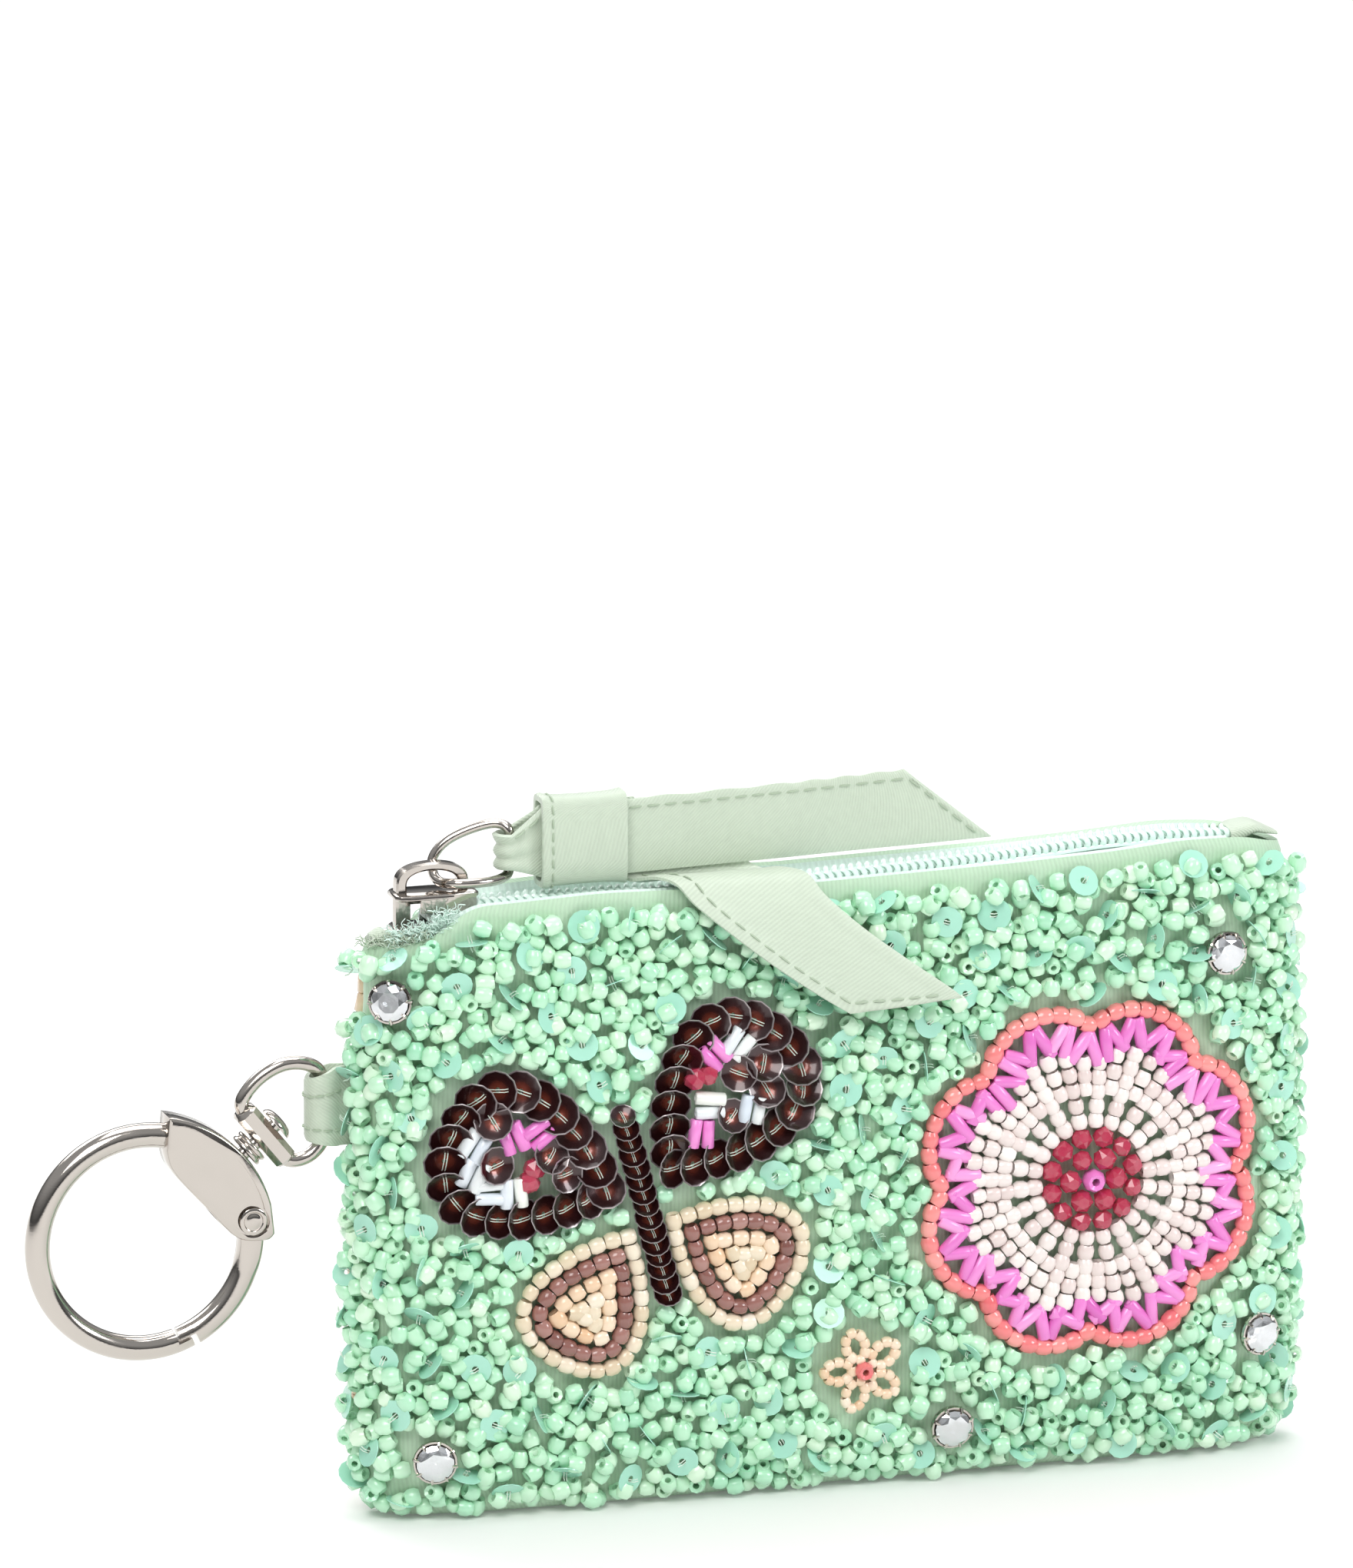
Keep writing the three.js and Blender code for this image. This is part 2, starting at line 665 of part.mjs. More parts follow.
function leftStop() {
  const start = -0.945 * halfWidth;
  const crest = sliderLeft - 1.2;
  const under = sliderBottom - gap;
  const low = under - 1.6;
  return endStop([
    { x: start, low: rimHeight(start) + gap, high: rimHeight(start) + 1.6, half: 1.4 },
    { x: crest, low: rimHeight(crest) + gap, high: rimHeight(crest) + 2, half: 1.6 },
    { x: sliderLeft - gap, low, high: under, half: 1.5 },
    { x: tapeLeft - gap, low, high: under, half: 1.6 },
  ]);
}

// The slider: two plates with the coil running between them, a slot at each side for the tape and a bail
const sliderCoil = coilBottom(sliderPlace);
const sliderTop = sliderCoil + coilHeight + gap + sliderPlate;
const sliderBottom = sliderCoil - 3 * gap - tapeThickness - sliderPlate;

function sliderBody() {
  const wide = sliderWidth / 2;
  const narrow = 0.82 * wide;
  const outline = [
    [sliderLeft, -0.8 * wide], [sliderLeft + 1.2, -wide], [sliderPlace, -wide], [sliderRight, -narrow],
    [sliderRight, narrow], [sliderPlace, wide], [sliderLeft + 1.2, wide], [sliderLeft, 0.8 * wide],
  ];
  const shape = new THREE.Shape(outline.map(([x, y]) => new THREE.Vector2(x, y)));
  const depth = sliderTop - sliderBottom;
  const body = bodyOf(new THREE.ExtrudeGeometry(shape, { depth, bevelEnabled: false }).translate(0, 0, sliderBottom));
  const reach = sliderLength;
  const channel = block(
    [sliderLeft + 2.4, -coilWidth - gap, sliderBottom + sliderPlate],
    [sliderRight + reach, coilWidth + gap, sliderTop - sliderPlate],
  );
  const slot = block(
    [sliderLeft + 2.4, -reach, sliderBottom + sliderPlate],
    [sliderRight + reach, reach, sliderCoil + gap],
  );
  return body.subtract(channel).subtract(slot).add(bailBody());
}

function bailBody() {
  const left = sliderLeft + 0.4;
  const right = sliderRight - 0.9;
  const middle = (left + right) / 2;
  const half = (right - left) / 2;
  const arch = (inset) => {
    const points = arc(1, 180, 0, 14);
    return points.map(([x, z]) => [middle + x * (half - inset), sliderTop + Math.sqrt(z) * (bailHeight - inset)]);
  };
  const foot = sliderTop - sliderPlate / 2;
  const outer = [[left, foot], ...arch(0), [right, foot]];
  const inner = arch(bailThickness);
  const outline = [...outer, [right - bailThickness, foot], ...inner.reverse(), [left + bailThickness, foot]];
  return plate(outline, -bailWidth / 2, bailWidth / 2);
}

pouch.add(piece('zip_tape_front', tapeBody(-1), zipCloth));
pouch.add(piece('zip_tape_back', tapeBody(1), zipCloth));
pouch.add(piece('zip_coil_front', coilBody(-1), zipCloth));
pouch.add(piece('zip_coil_back', coilBody(1), zipCloth));
pouch.add(piece('zip_end_left', leftStop(), satin));
pouch.add(piece('zip_end_right', rightStop(), satin));
pouch.add(piece('zip_slider', sliderBody(), nickel));

// The pull: a wire through the bail, and a ribbon folded round it, held by a keeper
const pullPoint = ({ along, out, up }) => new THREE.Vector3(
  sliderPlace + 0.6 + along * bailHeight, out * bailHeight, sliderTop + up * bailHeight - gap,
);

function pullWire() {
  return closedWire(pullRoute.map(pullPoint), pullWireDiameter, 40, 8);
}

function ribbonBody() {
  const layer = gap / 2 + ribbonThickness;
  const inner = pullWireDiameter / 2 + gap;
  const outer = inner + ribbonThickness;
  const foldCentre = ribbonFoldPlace + outer;
  const joined = foldCentre + 3;
  const tailEnd = ribbonFoldPlace + rearTailLength;
  const outline = [
    ...arc(outer, 90, 270, 10, [foldCentre, 0]),
    [joined, -layer], [tailEnd, -layer], [tailEnd, -gap / 2], [joined, -gap / 2],
    ...arc(inner, 270, 90, 8, [foldCentre, 0]),
    [joined, gap / 2], [keeperEnd + 1.6, gap / 2], [keeperEnd + 1.6, layer], [joined, layer],
  ];
  const shape = new THREE.Shape(outline.map(([x, y]) => new THREE.Vector2(x, y)));
  const tall = 3 * ribbonWidth;
  const strip = bodyOf(new THREE.ExtrudeGeometry(shape, { depth: tall, bevelEnabled: false })
    .translate(0, 0, ribbonBottom - ribbonWidth));
  const top = ribbonBottom + ribbonWidth;
  const cut = ribbonWidth / Math.tan(tailCutAngle * degrees);
  const gatherLow = pullPoint(pullRoute[4]).z + pullWireDiameter / 2 + gap;
  const gatherHigh = pullPoint(pullRoute[7]).z - pullWireDiameter / 2 - gap;
  const side = [
    [ribbonFoldPlace - 1, gatherLow], [foldCentre + inner, gatherLow], [joined, ribbonBottom],
    [keeperEnd, ribbonBottom], [tailEnd, ribbonBottom + rearTailRise], [tailEnd - cut, top + rearTailRise],
    [keeperEnd, top], [joined, top], [foldCentre + inner, gatherHigh], [ribbonFoldPlace - 1, gatherHigh],
  ];
  return strip.intersect(plate(side, -bagDepth, bagDepth)).add(drapedTail());
}

// The tail that lies over the rim and hangs down in front
const tailPlace = (share) => keeperEnd + share * halfWidth;

function drapedTail() {
  const rows = drape.map(({ out, up, start, end }) => ({
    y: -out * halfDepth, low: up * bagHeight, high: up * bagHeight, start: tailPlace(start), end: tailPlace(end),
  }));
  rows.push({
    y: -drapeTip.out * halfDepth, low: drapeTip.startUp * bagHeight, high: drapeTip.endUp * bagHeight,
    start: tailPlace(drapeTip.start), end: tailPlace(drapeTip.end),
  });
  const rings = rows.map((row, at) => {
    const before = rows[Math.max(at - 1, 0)];
    const after = rows[Math.min(at + 1, rows.length - 1)];
    const way = new THREE.Vector2(after.y - before.y, after.low - before.low).normalize();
    const y = (-way.y * ribbonThickness) / 2;
    const z = (way.x * ribbonThickness) / 2;
    return [
      [row.start, row.y - y, row.low - z], [row.end, row.y - y, row.high - z],
      [row.end, row.y + y, row.high + z], [row.start, row.y + y, row.low + z],
    ];
  });
  return loft(rings, [[0, 1, 2], [0, 2, 3]]);
}

function keeperBody() {
  const layer = gap / 2 + ribbonThickness;
  const from = keeperPlace - keeperWidth / 2;
  const to = keeperEnd;
  const clear = 0.25;
  const low = ribbonBottom - clear;
  const high = ribbonBottom + ribbonWidth + clear;
  const outer = block([from, -layer - clear - keeperWall, low - keeperWall], [to, layer + clear + keeperWall, high + keeperWall]);
  return outer.subtract(block([from - 1, -layer - clear, low], [to + 1, layer + clear, high]));
}

pouch.add(piece('pull_wire', pullWire(), nickel));
pouch.add(piece('pull_ribbon', ribbonBody(), satin));
pouch.add(piece('ribbon_keeper', keeperBody(), satin));
pouch.add(piece('side_tab', tabBody(0), satin));

// The swivel: its local X axis runs from the ring to the pouch, along the swivel's axis
const bossFromSide = 9;
const blockRadius = ringDiameter / 2 + blockLip;
const ringFromBoss = blockRadius + collarLength + bossWidth / 2 + 2 * gap;
const swivel = new THREE.Group();
swivel.position.set(sideAt - bossFromSide, seamOffset, tabHeight - 3);
swivel.rotation.y = -swivelTilt * degrees;

function eyeBody() {
  const points = eyeRoute.map(({ depth, across }) => new THREE.Vector3(depth * eyeDepth, 0, -across * eyeWidth));
  const wire = closedWire(points, eyeWireDiameter, 48, 10);
  const bevel = 0.7;
  const wide = bossWidth / 2;
  const thick = bossThickness / 2;
  const outline = [
    [-wide, -thick + bevel], [-wide + bevel, -thick], [wide - bevel, -thick], [wide, -thick + bevel],
    [wide, thick - bevel], [wide - bevel, thick], [-wide + bevel, thick], [-wide, thick - bevel],
  ];
  const shape = new THREE.Shape(outline.map(([x, y]) => new THREE.Vector2(x, y)));
  const boss = bodyOf(new THREE.ExtrudeGeometry(shape, { depth: bossLength, bevelEnabled: false })
    .translate(0, 0, -bossLength / 2));
  const hole = new THREE.CylinderGeometry(postDiameter / 2 + gap, postDiameter / 2 + gap, 2 * bossWidth, 20);
  return wire.add(boss).subtract(bodyOf(hole.rotateZ(Math.PI / 2)));
}

// The post is riveted into the block and turns in the boss, between a collar and a domed head
const ringRadius = ringDiameter / 2 - ringWireDiameter / 2;
const collarEnd = -bossWidth / 2 - gap;
const collarStart = collarEnd - collarLength;
const socketDepth = 1.6;

function postBody() {
  const shaft = postDiameter / 2;
  const head = postHeadDiameter / 2;
  const start = collarStart - gap - socketDepth;
  const headStart = bossWidth / 2 + gap;
  const headEnd = headStart + postHeadHeight;
  const profile = [
    [0, start], [shaft, start], [shaft, collarStart], [0.9 * head, collarStart], [head, collarStart + 0.3],
    [head, collarEnd - 0.4], [shaft, collarEnd], [shaft, headStart], [head, headStart],
    [head, headStart + 0.5], [0.6 * head, headEnd], [0, headEnd],
  ];
  return bodyOf(new THREE.LatheGeometry(profile.map(([r, z]) => new THREE.Vector2(r, z)), 20)
    .rotateZ(-Math.PI / 2));
}

swivel.add(piece('swivel_eye', eyeBody(), nickel));
swivel.add(piece('swivel_post', postBody(), nickel));

// The ring clasp, in a group of its own that stands upright at the ring's centre
const clasp = new THREE.Group();
clasp.position.set(
  sideAt - bossFromSide - ringFromBoss * Math.cos(swivelTilt * degrees), seamOffset,
  tabHeight - 3 - ringFromBoss * Math.sin(swivelTilt * degrees),
);
const pinPlace = arc(ringRadius, pinAngle, pinAngle, 1)[0];
const lapRadius = ringRadius;
const lapGap = (gap / ringRadius) / degrees;
const gateThickness = blockThickness - 2 * cheekThickness - 2 * gap;

// A flat sector of the ring between two radii and two angles
function sector(inner, outer, from, to, steps, thickness) {
  const points = [...arc(outer, from, to, steps), ...arc(inner, to, from, steps)];
  return plate(points, -thickness / 2, thickness / 2);
}

function ringBody() {
  const start = blockStartAngle - 6;
  const end = 360 + gateEndAngle - lapGap;
  const lapStart = 360 + gateEndAngle + gateLap + lapGap;
  const wire = ringArc(start, end + gateLap);
  const outerHalf = sector(lapRadius + gap / 2, ringDiameter, end - 1, lapStart + 3, 6, ringDiameter);
  const cleared = sector(ringRadius / 2, ringDiameter, end, lapStart + 2, 8, ringDiameter);
  const lapSpace = sector(ringRadius / 2, lapRadius + gap / 2, end, lapStart, 6, ringDiameter);
  const arm = swept(lapSpace, gateSwing)
    .reduce((solid, space) => solid.subtract(space), wire.subtract(cleared.subtract(outerHalf)));
  const outer = arc(blockRadius, blockStartAngle, blockEndAngle, 12);
  const inner = ringRadius - (2 / 3) * ringWireDiameter;
  const outline = [
    ...outer, [blockRadius - gap / 3, gap], [blockRadius - 0.64 * blockLip, -0.36 * blockLip], [inner, 0],
    [0.2 * ringDiameter / 2, 0.63 * ringDiameter / 2], [0.16 * ringDiameter / 2, 0.78 * ringDiameter / 2],
  ].reverse();
  const body = plate(outline, -blockThickness / 2, blockThickness / 2);
  const slotHalf = gateThickness / 2 + gap;
  const room = ringWireDiameter / 2 + 3 * gap;
  const slot = plate([
    ...arc(room + cheekThickness / 2, 130, 10, 8, pinPlace), [pinPlace[0] + room, -room * 2], [pinPlace[0] - 3 * room, -room * 2],
    [pinPlace[0] - 3 * room, pinPlace[1] + 0.3 * room],
  ].reverse(), -slotHalf, slotHalf);
  const hole = crossBar(...pinPlace, pinDiameter + 2 * gap, 2 * blockThickness);
  const seatDepth = 2 * (pinHeadHeight + gap / 2);
  const seats = [-1, 1].map((side) =>
    crossBar(...pinPlace, pinHeadDiameter + 2 * gap, seatDepth, (side * blockThickness) / 2));
  const socket = new THREE.CylinderGeometry(postDiameter / 2 + gap, postDiameter / 2 + gap, 2 * (socketDepth + gap), 20)
    .rotateZ(Math.PI / 2).translate(blockRadius, 0, 0).rotateY(-swivelTilt * degrees);
  const cuts = [slot, hole, ...seats, bodyOf(socket)];
  return cuts.reduce((solid, cut) => solid.subtract(cut), arm.add(body));
}

// The room that a form needs as it turns about the gate's pin
function swept(form, angle) {
  const [x, z] = pinPlace;
  const turns = [0, 0.25, 0.5, 0.75, 1].map((share) =>
    form.translate([-x, 0, -z]).rotate([0, share * angle, 0]).translate([x, 0, z]));
  return turns.slice(1).map((space, at) => wasm.Manifold.hull([turns[at], space]));
}

// The round wire of the ring between two angles
function ringArc(from, to) {
  const section = new THREE.Shape(circle(ringWireDiameter / 2, 10).map(([x, y]) => new THREE.Vector2(x, y)));
  const points = arc(ringRadius, from, to, 24).map(([x, z]) => new THREE.Vector3(x, 0, z));
  const extrudePath = new THREE.CatmullRomCurve3(points);
  return bodyOf(new THREE.ExtrudeGeometry(section, { steps: 36, bevelEnabled: false, extrudePath }));
}

function gateBody() {
  const inner = ringRadius - ringWireDiameter / 2;
  const outer = ringRadius + ringWireDiameter / 2;
  const full = sector(inner, outer, pinAngle, gateEndAngle + gateLap, 12, gateThickness);
  const lap = sector(inner, lapRadius - gap / 2, gateEndAngle + gateLap + 1, gateEndAngle, 3, gateThickness);
  const eye = crossBar(...pinPlace, ringWireDiameter, gateThickness);
  const armEnd = gateEndAngle + gateLap;
  const armSpace = sector(lapRadius, ringDiameter, gateEndAngle - lapGap, armEnd, 6, ringDiameter);
  const shaped = swept(armSpace, -gateSwing).reduce((solid, space) => solid.subtract(space), full);
  return shaped.add(lap).add(eye).subtract(crossBar(...pinPlace, pinDiameter + 2 * gap, blockThickness));
}

function pinBody() {
  const head = (side) => crossBar(
    ...pinPlace, pinHeadDiameter, pinHeadHeight, side * (blockThickness / 2 - pinHeadHeight / 2));
  return crossBar(...pinPlace, pinDiameter, blockThickness - pinHeadHeight).add(head(-1)).add(head(1));
}

clasp.add(piece('clasp_ring', ringBody(), nickel));
clasp.add(piece('clasp_gate', gateBody(), nickel));
clasp.add(piece('gate_pin', pinBody(), nickel));

const zipPouch = new THREE.Group();
zipPouch.name = 'zip_pouch';
zipPouch.add(pouch, swivel, clasp);

export default zipPouch;
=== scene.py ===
"""Looks of a small beaded zip pouch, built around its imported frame.

Lengths are in millimetres in the code and in metres in the meshes. The front of the pouch faces -Y, its base lies on
z = 0 and the clasp hangs at its -X end.
"""

from __future__ import annotations

import logging
import math
from collections.abc import Callable, Sequence
from dataclasses import dataclass, field
from enum import Enum

import bmesh
import bpy
import numpy as np
from mathutils import Matrix, Vector
from mathutils.bvhtree import BVHTree
from mathutils.kdtree import KDTree

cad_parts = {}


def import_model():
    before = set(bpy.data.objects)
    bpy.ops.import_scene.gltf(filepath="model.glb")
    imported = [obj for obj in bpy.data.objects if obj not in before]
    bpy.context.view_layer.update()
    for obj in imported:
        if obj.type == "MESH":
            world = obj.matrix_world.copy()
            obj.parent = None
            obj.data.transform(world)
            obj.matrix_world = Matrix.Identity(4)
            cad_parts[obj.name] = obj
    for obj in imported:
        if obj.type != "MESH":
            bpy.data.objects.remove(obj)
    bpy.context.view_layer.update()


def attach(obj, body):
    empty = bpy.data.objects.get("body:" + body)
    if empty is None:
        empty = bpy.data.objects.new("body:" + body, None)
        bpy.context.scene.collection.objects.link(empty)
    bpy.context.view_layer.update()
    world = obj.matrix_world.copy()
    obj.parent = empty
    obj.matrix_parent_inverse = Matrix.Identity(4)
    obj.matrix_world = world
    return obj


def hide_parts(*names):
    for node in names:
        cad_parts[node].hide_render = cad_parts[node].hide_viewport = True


MM = 0.001
LOG = logging.getLogger("zip_pouch")
Points = np.ndarray


class Body(Enum):
    """The rigid bodies of the frame."""

    POUCH = "pouch"
    RING = "ring"
    GATE = "gate"


class Slot(Enum):
    """The record's material slots."""

    MINT = "mint_beads"
    PLAIN = "plain_mint_beads"
    BROWN = "brown_sequins"
    CREAM = "cream_beads"
    BLUSH = "blush_beads"
    PINK = "pink_bugles"
    RED = "red_crystals"
    CRYSTAL = "crystal"
    TAPE = "zip_cloth"
    COIL = "zip_coil"
    SATIN = "satin"
    NICKEL = "nickel"


class Side(Enum):
    """The two panels of the pouch, by the sign of Y."""

    FRONT = -1
    BACK = 1


# Small tools for points


def unit(vectors: Points) -> Points:
    """The same directions with a length of one."""
    return vectors / np.maximum(np.linalg.norm(vectors, axis=-1, keepdims=True), 1e-9)


def across(directions: Points, facings: Points) -> Points:
    """Unit directions square to both."""
    return unit(np.cross(directions, facings))


def catmull(points: Points, closed: bool, steps: int) -> Points:
    """A centripetal curve through the points.

    Args:
        points: the points to pass through.
        closed: whether the curve returns to its start.
        steps: the number of steps between two points.

    Returns:
        The points of the curve.
    """
    given = np.asarray(points, float)
    if closed:
        padded = np.vstack([given[-1], given, given[0], given[1]])
    else:
        padded = np.vstack([2 * given[0] - given[1], given, 2 * given[-1] - given[-2]])
    made = []
    for at in range(1, len(padded) - 2):
        p = padded[at - 1 : at + 3]
        knots = np.concatenate([[0], np.cumsum(np.linalg.norm(np.diff(p, axis=0), axis=1) ** 0.5 + 1e-9)])
        t = np.linspace(knots[1], knots[2], steps, endpoint=False)[:, None]
        level = list(p)
        for span in (1, 2, 3):
            level = [
                ((knots[i + span] - t) * level[i] + (t - knots[i]) * level[i + 1]) / (knots[i + span] - knots[i])
                if span != 3
                else ((knots[2] - t) * level[0] + (t - knots[1]) * level[1]) / (knots[2] - knots[1])
                for i in range(len(level) - 1)
            ]
        made.append(level[0])
    curve = np.vstack(made)
    return curve if closed else np.vstack([curve, given[-1]])


def spaced(points: Points, pitch: float, closed: bool = False) -> tuple[Points, Points]:
    """Points at an even pitch along a line, with the direction of the line at each.

    Args:
        points: the line's points.
        pitch: the wanted distance, which is adjusted to fit the length.
        closed: whether the line returns to its start.

    Returns:
        The places and the unit directions.
    """
    line = np.vstack([points, points[:1]]) if closed else np.asarray(points, float)
    steps = np.linalg.norm(np.diff(line, axis=0), axis=1)
    length = np.concatenate([[0], np.cumsum(steps)])
    count = max(int(round(length[-1] / pitch)), 2)
    at = (np.arange(count) + (0 if closed else 0.5)) * length[-1] / count
    read = lambda where: np.stack([np.interp(where, length, line[:, axis]) for axis in range(line.shape[1])], 1)
    ahead, behind = read(np.minimum(at + 0.2 * pitch, length[-1])), read(np.maximum(at - 0.2 * pitch, 0))
    return read(at), unit(ahead - behind)


def inside(points: Points, outline: Points) -> np.ndarray:
    """Whether each flat point lies inside a closed outline."""
    x, z = points[:, 0][:, None], points[:, 1][:, None]
    ax, az = outline[:, 0], outline[:, 1]
    bx, bz = np.roll(ax, -1), np.roll(az, -1)
    crossing = (az > z) != (bz > z)
    where = (bx - ax) * (z - az) / np.where(bz == az, 1e-9, bz - az) + ax
    return (crossing & (x < where)).sum(1) % 2 == 1


def edge_distance(points: Points, outline: Points) -> np.ndarray:
    """The distance from each flat point to a closed outline."""
    start, end = outline, np.roll(outline, -1, axis=0)
    along = end - start
    share = ((points[:, None] - start) * along).sum(2) / np.maximum((along**2).sum(1), 1e-9)
    near = start + np.clip(share, 0, 1)[..., None] * along
    return np.linalg.norm(points[:, None] - near, axis=2).min(1)


def shrunk(outline: Points, distance: float) -> Points:
    """The line inside a closed outline at an even distance from it.

    Args:
        outline: flat points of a smooth outline.
        distance: how far inside; a negative one lies outside.

    Returns:
        The points of the new line, which may be fewer.
    """
    fine, _ = spaced(outline, 0.4, closed=True)
    way = unit(np.roll(fine, -1, axis=0) - np.roll(fine, 1, axis=0))
    normal = np.stack([-way[:, 1], way[:, 0]], 1)
    middle = fine + 0.1 * normal
    if inside(middle, outline).mean() < 0.5:
        normal = -normal
    moved = fine + distance * normal
    return moved[edge_distance(moved, outline) > 0.94 * abs(distance)]


# Meshes


@dataclass
class Shape:
    """Points in millimetres, the faces between them, and values kept for each point."""

    points: Points
    faces: list[tuple[int, ...]]
    weave: Points | None = None
    reach: Points | None = None

    @staticmethod
    def joined(shapes: Sequence[Shape]) -> Shape:
        """All the shapes as one."""
        starts = np.cumsum([0] + [len(shape.points) for shape in shapes])
        faces = [tuple(i + int(start) for i in face) for shape, start in zip(shapes, starts) for face in shape.faces]
        weave = None
        if all(shape.weave is not None for shape in shapes):
            weave = np.vstack([shape.weave for shape in shapes])
        return Shape(np.vstack([shape.points for shape in shapes]), faces, weave)

    def placed(self, matrix: Matrix) -> Shape:
        """The shape moved and turned by a matrix in millimetres."""
        turn = np.array(matrix.to_3x3())
        moved = self.points @ turn.T + np.array(matrix.translation)
        return Shape(moved, self.faces, self.weave, self.reach)

    def bulk(self) -> float:
        """The volume that the faces enclose, negative if they face inwards."""
        total = 0.0
        for face in self.faces:
            a = self.points[face[0]]
            for i in range(1, len(face) - 1):
                total += float(np.dot(a, np.cross(self.points[face[i]], self.points[face[i + 1]])))
        return total


def loft(rings: Sequence[Points], closed: bool = True, caps: bool = True, wrap: bool = False) -> Shape:
    """A surface through rows of as many points each.

    Args:
        rings: the rows.
        closed: whether each row returns to its start.
        caps: whether the first and the last row are closed with a face.
        wrap: whether the last row joins the first.

    Returns:
        The shape.
    """
    count, total = len(rings[0]), len(rings)
    faces: list[tuple[int, ...]] = []
    for row in range(total if wrap else total - 1):
        after = (row + 1) % total
        for at in range(count if closed else count - 1):
            beside = (at + 1) % count
            faces.append((row * count + at, row * count + beside, after * count + beside, after * count + at))
    if caps and not wrap:
        faces.append(tuple(range(count))[::-1])
        faces.append(tuple((total - 1) * count + i for i in range(count)))
    return Shape(np.vstack(rings), faces)


def lathe(profile: Sequence[tuple[float, float]], sides: int, closed: bool = False) -> Shape:
    """A turned form about Z.

    Args:
        profile: radius and height along the outline; a radius of zero lies on the axis.
        sides: the number of sides.
        closed: whether the outline returns to its start, as for a ring.

    Returns:
        The shape.
    """
    angles = np.arange(sides) * 2 * np.pi / sides
    rings = [np.stack([r * np.cos(angles), r * np.sin(angles), np.full(sides, z)], 1) for r, z in profile]
    return loft(rings, wrap=closed, caps=not closed)


def frames(path: Points, closed: bool) -> tuple[Points, Points]:
    """Two directions square to a path at each of its points, without twist.

    Args:
        path: the points.
        closed: whether the path returns to its start.

    Returns:
        The two sets of unit directions.
    """
    if closed:
        way = unit(np.roll(path, -1, axis=0) - np.roll(path, 1, axis=0))
    else:
        way = unit(np.gradient(path, axis=0))
    first = unit(np.cross(way[0], [0.0, 1.0, 0.0]) if abs(way[0][1]) < 0.9 else np.cross(way[0], [1.0, 0.0, 0.0]))
    normals = [first]
    for at in range(1, len(path)):
        last = normals[-1]
        normals.append(unit(last - np.dot(last, way[at]) * way[at]))
    normals = np.array(normals)
    if closed:
        last = unit(normals[-1] - np.dot(normals[-1], way[0]) * way[0])
        twist = math.atan2(np.dot(np.cross(last, first), way[0]), np.dot(last, first))
        turn = np.linspace(0, twist, len(path), endpoint=False)[:, None]
        normals = normals * np.cos(turn) + np.cross(way, normals) * np.sin(turn)
    return normals, np.cross(way, normals)


def sweep(path: Points, radius: float | Points, sides: int, closed: bool = False) -> Shape:
    """A round tube along a path.

    Args:
        path: the points of its middle line.
        radius: one radius, or one for each point.
        sides: the number of sides.
        closed: whether the tube returns to its start.

    Returns:
        The shape.
    """
    normals, binormals = frames(path, closed)
    size = np.broadcast_to(np.asarray(radius, float), (len(path),))
    angles = np.arange(sides) * 2 * np.pi / sides
    rings = [
        point + r * (np.cos(angles)[:, None] * n + np.sin(angles)[:, None] * b)
        for point, n, b, r in zip(path, normals, binormals, size)
    ]
    return loft(rings, wrap=closed)


def slab(outline: Points, levels: Sequence[tuple[float, float]]) -> Shape:
    """A plate with rounded edges, its outline in X and Z and its thickness along Y.

    Args:
        outline: flat points, of a form without narrow waists.
        levels: for each level from the front, its Y and how far its edge lies inside the outline.

    Returns:
        The shape.
    """
    way = unit(np.roll(outline, -1, axis=0) - np.roll(outline, 1, axis=0))
    normal = np.stack([-way[:, 1], way[:, 0]], 1)
    if inside(outline + 0.05 * normal, outline).mean() < 0.5:
        normal = -normal
    rings = []
    for y, inset in levels:
        flat = outline + inset * normal
        rings.append(np.stack([flat[:, 0], np.full(len(flat), y), flat[:, 1]], 1))
    return loft(rings)


def make_object(name: str, shape: Shape, material: bpy.types.Material, sharp: float = 35.0) -> bpy.types.Object:
    """A shown object of a shape, with its faces turned outwards.

    Args:
        name: the object's name.
        shape: its points and faces.
        material: its material.
        sharp: the angle in degrees above which an edge isn't smoothed.

    Returns:
        The object.
    """
    mesh = bpy.data.meshes.new(name)
    mesh.from_pydata((shape.points * MM).tolist(), [], shape.faces)
    for key, values in (("weave", shape.weave), ("reach", shape.reach)):
        if values is None:
            continue
        kind = "FLOAT_VECTOR" if values.ndim == 2 else "FLOAT"
        layer = mesh.attributes.new(key, kind, "POINT")
        layer.data.foreach_set("vector" if values.ndim == 2 else "value", np.asarray(values, np.float32).ravel())
    work = bmesh.new()
    work.from_mesh(mesh)
    bmesh.ops.remove_doubles(work, verts=work.verts, dist=1e-6)
    bmesh.ops.dissolve_degenerate(work, edges=work.edges, dist=1e-7)
    bmesh.ops.recalc_face_normals(work, faces=work.faces)
    work.to_mesh(mesh)
    work.free()
    mesh.shade_smooth()
    mesh.set_sharp_from_angle(angle=math.radians(sharp))
    mesh.materials.append(material)
    made = bpy.data.objects.new(name, mesh)
    bpy.context.scene.collection.objects.link(made)
    return made


